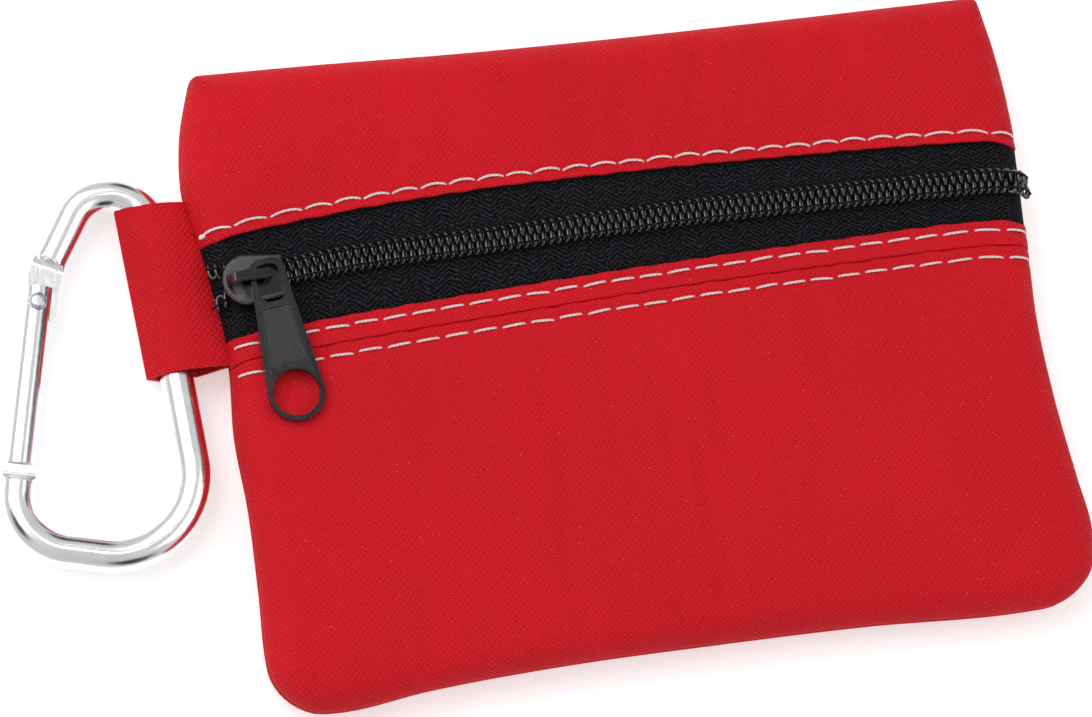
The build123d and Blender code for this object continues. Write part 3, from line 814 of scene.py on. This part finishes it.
# The red cloths: their own red, a darker red as painted shade between the weave's crossings, and a pale
# red as a painted highlight on some crossing tops.
PAINTED_HIGHLIGHT_RED = rgb(232, 96, 106)
RED = woven_material("red_polyester_weave", rgb(207, 23, 36), rgb(178, 16, 28), PAINTED_HIGHLIGHT_RED, 0.48, 0.4)
RED_LOOP = woven_material("red_loop_weave", rgb(206, 23, 36), rgb(176, 16, 28), PAINTED_HIGHLIGHT_RED, 0.5, 0.3)
TAPE = herringbone_material()
COIL = plastic_material("black_nylon_coil", rgb(3, 3, 5), rgb(9, 9, 12), 0.14, 0.24)
THREAD_WHITE = thread_material()
ENAMEL = enamel_material("grained_black_enamel", rgb(2, 2, 3), rgb(20, 20, 24), 4.2, 0.00012)
RIM_ENAMEL = enamel_material("glossy_black_enamel", rgb(3, 3, 4), rgb(10, 10, 12), 1.6, 0.00002)
# The slider's black enamel is painted mid grey: painted sheen, standing in for the light its gloss
# reflects.
SLIDER_ENAMEL_PAINTED_SHEEN = enamel_material("smooth_black_enamel_painted_sheen", rgb(48, 48, 52), rgb(74, 74, 79), 1.6, 0.00003)
ALUMINIUM = metal_material("polished_aluminium", (0.95, 0.95, 0.96), 0.13, 0.24, 0.00001)
RIVET_STEEL = metal_material("satin_rivet_steel", rgb(196, 198, 210), 0.22, 0.34, 0.00002)
SPRING_STEEL = metal_material("drawn_spring_wire", rgb(170, 168, 164), 0.2, 0.35, 0.00002)
GAUZE = wrapper_material("gauze_wrapper", rgb(236, 238, 236), rgb(120, 160, 200), 0.7, 2.0)
WIPE = wrapper_material("wipe_sachet_laminate", rgb(222, 230, 236), rgb(70, 120, 180), 0.3, 5.0)
OINTMENT = wrapper_material("ointment_sachet_laminate", rgb(232, 232, 224), rgb(90, 160, 110), 0.28, 4.0)
BANDAGE = wrapper_material("bandage_paper", rgb(240, 234, 220), rgb(214, 178, 140), 0.75, 3.0)


# -------- the pouch's cloth

RELIEF = blown_relief()


def hem_profile(width):
    """A folded edge, as (distance in from the fold, height): the flap beneath, then the fold."""
    flap = [(reach, -2 * HEM_ROUND) for reach in np.linspace(width, HEM_ROUND, 5)[:-1]]
    angles = np.linspace(-pi / 2, pi / 2, 9)
    return flap + [(HEM_ROUND * (1 - cos(a)), HEM_ROUND * (sin(a) - 1)) for a in angles]


def stitch_dent(x, y, edge, offset):
    """How far a row of stitches pulls the cloth in: a shallow trough, deeper at each needle hole."""
    away = y - (smooth_curve(edge, x) + offset)
    trough = TROUGH_DEPTH * np.exp(-((away / TROUGH_WIDTH) ** 2))
    phase = (x / STITCH_PITCH) % 1.0 - 0.5
    hole = HOLE_DEPTH * np.exp(-((phase * STITCH_PITCH / HOLE_WIDTH) ** 2) - (away / HOLE_WIDTH) ** 2)
    return trough + hole


def edge_ruffle(x):
    """The small waves that the stitches leave in a hem's edge."""
    return 0.06 * np.cos(2 * pi * x / STITCH_PITCH) + 0.04 * np.sin(0.9 * x + 1.0)


def dents(x, y):
    """The pull of the three stitch rows together."""
    return sum(stitch_dent(x, y, edge, offset) for edge, offset in STITCH_ROWS)


def panel_grid(edge, offset, side):
    """The outer face of a front panel, from its folded edge at the zip to the pouch's top or bottom."""
    shares = spread(HALF_WIDTH, GRID_STEP) / HALF_WIDTH
    plain = shares * HALF_WIDTH
    fold = smooth_curve(edge, plain) + offset
    start = fold + side * HEM_REACH
    limit = side * (HALF_HEIGHT - EDGE_DEPTH)
    rows = []
    for reach, lift in hem_profile(FLAP) + flat_rows(HEM_STEP, HEM_REACH):
        rows.append((fold + side * (reach + edge_ruffle(plain) * np.exp(-reach / RUFFLE_REACH)), lift))
    for k in range(1, PANEL_STEPS + 1):
        rows.append((start + (limit - start) * (k / PANEL_STEPS), 0.0))
    for angle in np.linspace(pi / 2, 0, TURN_STEPS)[1:]:
        rows.append((np.full_like(fold, side * (HALF_HEIGHT - EDGE_DEPTH * (1 - cos(angle)))), 0.0))
    grid = []
    for y, lift in rows:
        x = shares * side_at(y)
        grid.append(lay(x, y, lift - dents(x, y)))
    return np.array(grid)[::side]


def flat_rows(step, end):
    """The cloth past a folded edge, as (distance from the fold, height)."""
    return [(reach, 0.0) for reach in np.arange(HEM_ROUND + step, end, step)]


def strip_grid():
    """The outer face of the folded strip below the zip."""
    x = spread(HALF_WIDTH, GRID_STEP)
    top = smooth_curve(LOWER_EDGE, x)
    half = hem_profile(STRIP_WIDTH / 2 - FOLD_GAP) + flat_rows(STRIP_STEP, STRIP_WIDTH / 2)
    upper = [(-reach, height) for reach, height in half]
    lower = [(reach - STRIP_WIDTH, height) for reach, height in reversed(half)]
    grid = []
    for place, height in upper + lower:
        ruffle = edge_ruffle(x) * (np.exp(place) - 0.5 * np.exp(-(place + STRIP_WIDTH)))
        y = top + place + ruffle
        grid.append(lay(x, y, height - dents(x, y)))
    return np.array(grid)[::-1]


def back_grid():
    """The outer face of the back panel, all one piece of cloth."""
    shares = spread(HALF_WIDTH, BACK_STEP) / HALF_WIDTH
    grid = []
    for height in spread(HALF_HEIGHT, BACK_STEP):
        y = np.full_like(shares, height)
        x = shares * side_at(y)
        grid.append(lay(x, y, np.zeros_like(x), back=True))
    return np.array(grid)[::-1]


def tape_drop(x):
    """How far the tapes lie under the red cloth: less at their ends, where the side seams nip them."""
    return TAPE_DROP * (1 - TAPE_NIP * fade((HALF_WIDTH - np.abs(x)) / TAPE_NIP_REACH))


def tape_grid(edge, side):
    """The outer face of one zip tape, from the chain to under the cloth's edge."""
    x = spread(HALF_WIDTH, TAPE_STEP)
    near = chain_y(x) + side * TAPE_NEAR
    far = smooth_curve(edge, x) + side * TAPE_HIDDEN
    grid = []
    for t in np.linspace(0, 1, TAPE_ROWS):
        y = near + (far - near) * t
        sag = TAPE_SAG * np.sin(pi * np.clip(t * 1.25, 0, 1)) + TAPE_WAVE * np.sin(1.3 * x + 3 * t)
        grid.append(lay(x, y, -tape_drop(x) * (1 + sag)))
    return np.array(grid)[::side]


def pouch_cloth():
    """The pouch's panels and tapes, as sheets of cloth with their flat sizes."""
    lower_fold = -STRIP_WIDTH - GROOVE
    red = (CLOTH, RED, "red_fabric")
    black = (TAPE_THICKNESS, TAPE, "black_tape")
    pieces = (
        ("upper_front_cloth", "upper_front_panel", panel_grid(UPPER_EDGE, 0.0, 1), *red),
        ("lower_front_cloth", "lower_front_panel", panel_grid(LOWER_EDGE, lower_fold, -1), *red),
        ("lower_strip_cloth", "lower_zip_strip", strip_grid(), *red),
        ("back_cloth", "back_panel", back_grid(), *red),
        ("upper_tape_cloth", "upper_zip_tape", tape_grid(UPPER_EDGE, 1), *black),
        ("lower_tape_cloth", "lower_zip_tape", tape_grid(LOWER_EDGE, -1), *black),
    )
    for name, node, grid, thickness, material, slot in pieces:
        piece = closed_sheet(name, grid, thickness, material)
        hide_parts(node)
        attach(piece, "pouch")


pouch_cloth()


# -------- the zip chain


def chain_line(step):
    """Even steps along the chain's middle: lengths, points, the cloth's normals and side directions."""
    x = np.linspace(CHAIN_START - HALF_WIDTH, HALF_WIDTH - CHAIN_END, CHAIN_SAMPLES)
    low = lay(x, chain_y(x), -tape_drop(x))
    high = lay(x, chain_y(x), 1.0 - tape_drop(x))
    along = np.concatenate([[0], np.cumsum(np.linalg.norm(np.diff(low, axis=0), axis=1))])
    places = np.arange(0, along[-1], step)
    middle = np.stack([np.interp(places, along, low[:, k]) for k in range(3)], 1)
    top = np.stack([np.interp(places, along, high[:, k]) for k in range(3)], 1)
    normal = top - middle
    normal /= np.linalg.norm(normal, axis=1, keepdims=True)
    tangent = np.gradient(middle, axis=0)
    tangent /= np.linalg.norm(tangent, axis=1, keepdims=True)
    return places, middle, normal, np.cross(normal, tangent)


def coil_piece(name, side, node):
    """Half the chain: a flattened nylon coil that meshes with the other half, and its sewing thread."""
    places, middle, normal, lateral = chain_line(COIL_PITCH / COIL_TURN_POINTS)
    shift = 0.0 if side > 0 else COIL_PITCH / 2
    angle = 2 * pi * (places + shift) / COIL_PITCH
    parting = COIL_PARTING * fade((middle[:, 0] + HALF_WIDTH + PARTING_FROM) / PARTING_REACH)
    out = COIL_MIDDLE + COIL_REACH * np.cos(angle) + parting
    up = COIL_LIFT + COIL_WIRE + COIL_HALF_HEIGHT * np.sin(angle)
    lead = COIL_PITCH / (4 * pi) * LEG_SQUARENESS * np.sin(2 * angle)
    tangent = np.cross(lateral, normal)
    path = middle + lateral * (side * out)[:, None] + normal * up[:, None] + tangent * lead[:, None]
    bundle = Bundle()
    bundle.add(*tube(path, COIL_WIRE * (1 + HEAD_SWELL * np.cos(angle)), COIL_SIDES))
    piece = bundle.piece(name, COIL)
    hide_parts(node)
    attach(piece, "pouch")
    over = COIL_LIFT + 2 * COIL_WIRE + COIL_HALF_HEIGHT - SEWING_SUNK + SEWING_WAVE * np.sin(angle)
    beside = side * (COIL_MIDDLE + SEWING_AT + parting)
    thread = middle + lateral * beside[:, None] + normal * over[:, None]
    sewing = Bundle()
    sewing.add(*tube(thread[::2], SEWING_ROUND, COIL_SIDES))
    seam = sewing.piece(name.replace("turns", "sewing"), TAPE)
    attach(seam, "pouch")


coil_piece("upper_coil_turns", 1, "upper_zip_coil")
coil_piece("lower_coil_turns", -1, "lower_zip_coil")


# -------- topstitching


def stitch_row(name, edge, offset, bow, length, node):
    """A row of thread stitches, each from one needle hole to the next. A row that bows ends in a knot."""
    rng = np.random.default_rng(len(name))
    bundle = Bundle()
    count = int(STITCH_SPAN / STITCH_PITCH)
    t = np.linspace(0, 1, STITCH_POINTS)
    arch = np.sin(pi * t)
    turn = np.tile(np.arange(THREAD_SIDES) / THREAD_SIDES * 2 * pi, STITCH_POINTS)
    for k in range(count):
        start = (k - count / 2) * STITCH_PITCH + 0.5 * STITCH_PITCH
        skew = rng.normal(0, STITCH_SKEW)
        x = np.clip(start + length * (t - 0.5), STITCH_ENDS - HALF_WIDTH, HALF_WIDTH - STITCH_ENDS)
        y = smooth_curve(edge, x) + offset + bow * (arch - 0.5) + skew * (t - 0.5) * 3
        y += rng.normal(0, STITCH_STRAY)
        lift = -0.5 + 0.62 * np.clip(arch * 3.0, 0, 1) ** 0.7 + 0.05 * arch
        path = lay(x, y, lift - 0.5 * dents(x, y))
        points, faces = tube(path, THREAD * (0.8 + 0.2 * arch), THREAD_SIDES)
        cloth = np.stack([np.repeat(x, THREAD_SIDES), turn, np.zeros_like(turn)], 1)
        bundle.add(points, faces, np.concatenate([cloth, cloth[:1], cloth[-1:]]))
    if bow > KNOT_BOW:
        x = np.linspace(*KNOT_SPAN, 9) - HALF_WIDTH
        y = smooth_curve(edge, x) + offset - 0.1
        lump = np.sin(np.linspace(0, pi, 9))
        bundle.add(*tube(lay(x, y, 0.1 * lump), 0.06 + KNOT_ROUND * lump, 10))
    piece = bundle.piece(name, THREAD_WHITE)
    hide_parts(node)
    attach(piece, "pouch")


stitch_row("upper_topstitch", UPPER_EDGE, UPPER_STITCH, 0.42, 4.3, "upper_stitching")
stitch_row("strip_topstitch", LOWER_EDGE, STRIP_STITCH, 0.06, 3.75, "strip_stitching")
stitch_row("lower_topstitch", LOWER_EDGE, LOWER_STITCH, 0.05, 3.75, "lower_stitching")


# -------- the webbing loop


def bezier(a, b, c, d, count):
    """Points along a cubic curve."""
    t = np.linspace(0, 1, count)[:, None]
    a, b, c, d = (np.array(p, float) for p in (a, b, c, d))
    return (1 - t) ** 3 * a + 3 * (1 - t) ** 2 * t * b + 3 * (1 - t) * t * t * c + t**3 * d


def loop_line(root, fold):
    """The loop's outer face in one row, as (x, height): over the top, round the fold, back beneath."""
    low, high = LOOP_LOW[2], LOOP_HIGH[2] - LOOP_TOP_GAP
    flat = fold + LOOP_FLAT
    angles = np.radians(np.linspace(LOOP_FOLD_ANGLE, 180 - LOOP_FOLD_ANGLE, 11))
    arc = np.stack([1 - np.sin(angles), np.cos(angles)], 1) * LOOP_FOLD_ROUND + (fold, LOOP_FOLD_Z)
    first, last = arc[0], arc[-1]
    leaving, arriving = ([(root + x, z) for x, z in ends] for ends in (LOOP_UPPER_ROOT, LOOP_LOWER_ROOT))
    above, beneath = ((end[0] + LOOP_NOSE_EASE, z) for end, z in zip((first, last), LOOP_NOSE_HEIGHTS))
    return np.concatenate([
        bezier(*leaving, (flat + LOOP_EASE, high), (flat, high), 14),
        bezier((flat, high), (flat - LOOP_EASE, high), above, first, 14)[1:-1],
        arc,
        bezier(last, beneath, (flat - LOOP_EASE, low), (flat, low), 14)[1:-1],
        bezier((flat, low), (flat + LOOP_EASE, low), *arriving, 14),
    ])


def make_loop():
    """The loop: cloth folded flat round the carabiner's spine, its two layers sewn into the side seam."""
    rows = []
    for share in np.linspace(0, 1, LOOP_ROWS):
        y = LOOP_BOTTOM + (LOOP_TOP - LOOP_BOTTOM) * share
        root = -HALF_WIDTH - float(smooth_curve(LEFT_BULGE, np.array(y))) + LOOP_TUCK
        fold = LOOP_LOW[0] + LOOP_FOLD_IN + LOOP_LEAN * (y - LOOP_MIDDLE)
        x, z = loop_line(root, fold).T
        wave = 0.07 * np.sin(0.45 * y + 0.3 * x) + 0.04 * np.sin(1.1 * x + 2.0)
        tilt = LOOP_SKEW * (x - root) / (fold - root) * (share - 0.5)
        rows.append(np.stack([x, y + tilt, z + wave * np.clip((root - x) / 3.0, 0, 1)], 1))
    grid = np.array(rows)[::-1]
    piece = closed_sheet("webbing_loop_cloth", grid, LOOP_THICKNESS, RED_LOOP, sharp=50)
    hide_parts("webbing_loop")
    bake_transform(piece)


make_loop()


# -------- the carabiner


def filleted(points, radii, step):
    """Points along a path of straight runs joined by arcs, about step apart."""
    points = [np.array(p, float) for p in points]
    path = [points[0]]

    def run_to(target):
        gap = np.linalg.norm(target - path[-1])
        for left in range(int(gap / step) + 1, 1, -1):
            path.append(path[-1] + (target - path[-1]) * (1 / left))
        path.append(target)

    for before, corner, after, radius in zip(points, points[1:], points[2:], radii):
        u = (before - corner) / np.linalg.norm(before - corner)
        v = (after - corner) / np.linalg.norm(after - corner)
        half = np.arccos(np.clip(u @ v, -1, 1)) / 2
        reach = radius / np.tan(half)
        middle = (u + v) / np.linalg.norm(u + v)
        centre = corner + middle * radius / np.sin(half)
        run_to(corner + u * reach)
        first = path[-1] - centre
        last = corner + v * reach - centre
        turn = atan2(first[0] * last[1] - first[1] * last[0], first @ last)
        count = max(2, int(abs(turn) * radius / step))
        for k in range(1, count + 1):
            a = turn * k / count
            aside = np.array([-first[1], first[0]])
            path.append(centre + first * cos(a) + aside * sin(a))
    run_to(points[-1])
    return np.array(path)


def gate_xy(along, out):
    """A plan point from the gate's own axes."""
    return RIVET_AT + along * GATE_UP + out * GATE_OUT


def cut_off(plan, inner, outer):
    """Plan points, held within two distances in and out from the gate's middle line."""
    out = (plan - RIVET_AT) @ GATE_OUT
    return plan + np.outer(np.clip(out, -inner, outer) - out, GATE_OUT)


def milled(plan, along):
    """The rod where its ends are milled: the plan that is left, and half the thickness that is left."""
    if along > HINGE_ZONE:
        past = along - HINGE_FLAT_END
        if along < TONGUE_BELOW:
            room = np.sqrt(max(TONGUE_ROUND**2 - min(along, 0) ** 2, 0.01))
            plan = cut_off(plan, room, min(room, TONGUE_OUT))
    elif along > NOSE_FLAT_END - FLAT_RAMP:
        past = NOSE_FLAT_END - along
        if along > NOSE_SHOULDER:
            plan = cut_off(plan, NOSE_INSET, TONGUE_OUT)
    else:
        return plan, ROD_RADIUS
    return plan, TONGUE_HALF + FLAT_RISE * np.clip(past / FLAT_RAMP, 0, 1) ** 4


def make_carabiner():
    """The bent rod, milled flat at its two ends: a round hinge tongue above and a nose tongue below."""
    path = filleted([gate_xy(*TONGUE_START), *ROD_CORNERS, gate_xy(NOSE_TOP, 0.0)], ROD_BENDS, ROD_STEP)
    tangent = np.gradient(path, axis=0)
    tangent /= np.linalg.norm(tangent, axis=1, keepdims=True)
    across = np.stack([tangent[:, 1], -tangent[:, 0]], 1)
    angle = np.linspace(0, 2 * pi, ROD_SIDES, endpoint=False)
    rings = []
    for centre, side in zip(path, across):
        along = (centre - RIVET_AT) @ GATE_UP
        plan = centre + side * (ROD_RADIUS * np.cos(angle))[:, None]
        half = ROD_RADIUS
        if centre[0] < GATE_SIDE_X:
            if NOSE_TOP / 2 < along < -TONGUE_ROUND:
                continue
            plan, half = milled(plan, along)
        rings.append(np.column_stack([plan, ROD_Z + np.clip(ROD_RADIUS * np.sin(angle), -half, half)]))
    points = np.concatenate([*rings, [rings[0].mean(0), rings[-1].mean(0)]])
    faces = capped_faces(len(rings), ROD_SIDES)
    piece = make_piece("carabiner_rod", points, faces, ALUMINIUM, sharp=32)
    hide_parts("carabiner_body")
    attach(piece, "carabiner")


make_carabiner()


def refined(node, body, material, name, edge, panel=None):
    """A hard CAD piece with its edges broken by small rounds. panel is its largest top face's material."""
    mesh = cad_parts[node].data.copy()
    piece = bpy.data.objects.new(name, mesh)
    SCENE.collection.objects.link(piece)
    mesh.materials.clear()
    mesh.materials.append(material)
    form = bmesh.new()
    form.from_mesh(mesh)
    bmesh.ops.remove_doubles(form, verts=form.verts, dist=MERGE_WITHIN)
    bmesh.ops.dissolve_limit(form, angle_limit=FLAT_WITHIN, verts=form.verts, edges=form.edges)
    for face in form.faces:
        face.smooth = True
        face.material_index = 0
    if panel:
        mesh.materials.append(panel)
        upward = [face for face in form.faces if face.normal.z > 0.9]
        max(upward, key=lambda face: face.calc_area()).material_index = 1
    form.to_mesh(mesh)
    form.free()
    if mesh.has_custom_normals:
        bpy.context.view_layer.objects.active = piece
        with bpy.context.temp_override(object=piece, active_object=piece):
            bpy.ops.mesh.customdata_custom_splitnormals_clear()
    bevel = piece.modifiers.new("broken_edges", "BEVEL")
    bevel.width = edge * MM
    bevel.segments = 3
    bevel.limit_method = "ANGLE"
    bevel.angle_limit = BEVEL_ABOVE
    bevel.harden_normals = True
    mesh.shade_smooth()
    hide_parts(node)
    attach(piece, body)


refined("zip_slider", "slider", SLIDER_ENAMEL_PAINTED_SHEEN, "slider_casting", 0.12)
refined("pull_tab", "pull", RIM_ENAMEL, "pull_casting", 0.16, panel=ENAMEL)
refined("carabiner_gate", "gate", ALUMINIUM, "gate_rod", 0.08)
refined("gate_rivet", "gate", RIVET_STEEL, "gate_rivet_heads", 0.05)
refined("gate_spring", "gate", SPRING_STEEL, "gate_spring_wire", 0.04)


# -------- the contents


def make_packet(node, spin, material, crimp, seed):
    """A wrapped dressing: a soft filled middle inside flat crimped margins, and creases in the wrapper."""
    corners = np.array([v.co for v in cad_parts[node].data.vertices]) / MM
    low, high = corners.min(0), corners.max(0)
    middle = (low + high) / 2
    thick = high[2] - low[2]
    centred = corners[corners[:, 2] > high[2] - 0.01][:, :2] - middle[:2]
    along = np.array([cos(radians(spin)), sin(radians(spin))])
    aside = np.array([-along[1], along[0]])
    half_u = np.abs(centred @ along).max()
    half_v = np.abs(centred @ aside).max()
    u, v = np.meshgrid(np.linspace(-1, 1, PACKET_COLUMNS), np.linspace(-1, 1, PACKET_ROWS))
    margin_u = np.clip((1 - np.abs(u)) * half_u / crimp, 0, 3)
    margin_v = np.clip((1 - np.abs(v)) * half_v / crimp, 0, 3)
    fill = fade(1 - np.clip(np.minimum(margin_u, margin_v) - 1, 0, 1))
    rng = np.random.default_rng(seed)
    creases = 0
    for _ in range(PACKET_CREASES):
        size = rng.uniform(0.3, 1)
        creases += size * np.sin(rng.uniform(2, 9) * u + rng.uniform(-6, 6) * v + rng.uniform(0, 6))
    ribs = CRIMP_RIB * np.sin(np.abs(u) * half_u * CRIMP_RATE) * (margin_u < 1)
    swell = thick * (PACKET_RIM + PACKET_SWELL * fill + PACKET_CREASE * creases * fill)
    plan = middle[:2] + (u * half_u)[..., None] * along + (v * half_v)[..., None] * aside
    halves = [np.dstack([plan, middle[2] + s * swell + ribs * thick]).reshape(-1, 3) for s in (1, -1)]
    flat = np.dstack([u * half_u, v * half_v, np.zeros_like(u)]).reshape(-1, 3)
    faces = shell_faces(PACKET_ROWS, PACKET_COLUMNS)
    flats = np.concatenate([flat, flat])
    piece = make_piece(node + "_wrapped", np.concatenate(halves), faces, material, flats)
    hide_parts(node)
    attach(piece, "pouch")


# Each kind of packet: the turns of its pieces in degrees, its wrapper, its slot and its crimped margin
PACKETS = (
    ("gauze_pad", (0, 0), GAUZE, "gauze_wrap", 4.0),
    ("antiseptic_wipe", (2, -2, 1), WIPE, "wipe_foil", 3.5),
    ("ointment_sachet", (0, 0), OINTMENT, "ointment_foil", 3.0),
    ("adhesive_bandage", (3, -4, 2, -2, 5), BANDAGE, "bandage_paper", 2.5),
)
for kind, spins, finish, slot_name, margin in PACKETS:
    for number, spin in enumerate(spins, 1):
        make_packet(f"{kind}_{number}", spin, finish, margin, 10 * number + len(spins))


# -------- floor, light and camera


def make_floor():
    """A wide pale floor, just under the pouch."""
    mesh = bpy.data.meshes.new("floor")
    corners = ((-1, -1, 0), (1, -1, 0), (1, 1, 0), (-1, 1, 0))
    mesh.from_pydata([Vector(corner) * FLOOR_REACH for corner in corners], [], [(0, 1, 2, 3)])
    floor = bpy.data.objects.new("floor", mesh)
    floor.location = (0, 0, -FLOOR_DROP)
    SCENE.collection.objects.link(floor)
    m = Shader(
        "pale_floor",
        Base_Color=(0.72, 0.72, 0.72, 1.0),
        Roughness=0.9,
        Specular_IOR_Level=0.1,
        Emission_Color=(1.0, 1.0, 1.0, 1.0),
        Emission_Strength=0.45,
    )
    mesh.materials.append(m.material)


def area_light(name, place, size, power):
    """A soft light that faces the object."""
    data = bpy.data.lights.new(name, "AREA")
    data.shape = "RECTANGLE"
    data.size, data.size_y = size
    data.energy = power
    light = bpy.data.objects.new(name, data)
    light.location = place
    light.rotation_euler = (Vector((0, 0, 0)) - Vector(place)).to_track_quat("-Z", "Y").to_euler()
    SCENE.collection.objects.link(light)


def make_world():
    """A pale surround with a few dark patches, so that bright metal has something to show."""
    world = bpy.data.worlds.new("studio")
    world.use_nodes = True
    SCENE.world = world
    nodes = Nodes(world.node_tree)
    background = nodes.tree.nodes["Background"]
    background.inputs["Strength"].default_value = SURROUND
    heading = nodes.node("TexCoord").outputs["Generated"]
    level = 1.0
    for direction, inner, outer in DARK_PATCHES:
        dot = nodes.node("VectorMath", operation="DOT_PRODUCT")
        nodes.link(heading, dot.inputs[0])
        dot.inputs[1].default_value = Vector(direction).normalized()
        edge = nodes.node("MapRange", interpolation_type="SMOOTHSTEP")
        nodes.link(dot.outputs["Value"], edge.inputs["Value"])
        limits = (cos(radians(outer)), cos(radians(inner)), 1.0, PATCH_LEVEL)
        for socket, value in zip(("From Min", "From Max", "To Min", "To Max"), limits):
            edge.inputs[socket].default_value = value
        level = nodes.times(level, edge.outputs[0])
    nodes.link(level, background.inputs["Color"])


make_floor()
make_world()
area_light("key_softbox", (-0.45, 0.35, 0.75), (0.9, 0.7), 4.6)
area_light("fill_softbox", (0.55, -0.25, 0.7), (0.6, 0.6), 1.4)
area_light("strip_light", (-0.22, 0.16, 0.6), (0.05, 0.5), 0.5)

view = Matrix.Rotation(radians(TURN[0]), 3, "Y") @ Matrix.Rotation(radians(TURN[1]), 3, "X")
view = view @ Matrix.Rotation(radians(TURN[2]), 3, "Z")
camera = bpy.data.objects.new("camera", bpy.data.cameras.new("camera"))
camera.data.lens = LENS
camera.data.sensor_width = SENSOR
camera.data.clip_start = 0.01
place = -(view.transposed() @ CAMERA_OFFSET) + Vector((0, 0, SEAM_Z))
camera.matrix_world = Matrix.Translation(place * MM) @ view.transposed().to_4x4()
SCENE.collection.objects.link(camera)
SCENE.camera = camera
SCENE.view_settings.view_transform = "Standard"
SCENE.view_settings.exposure = 0.0
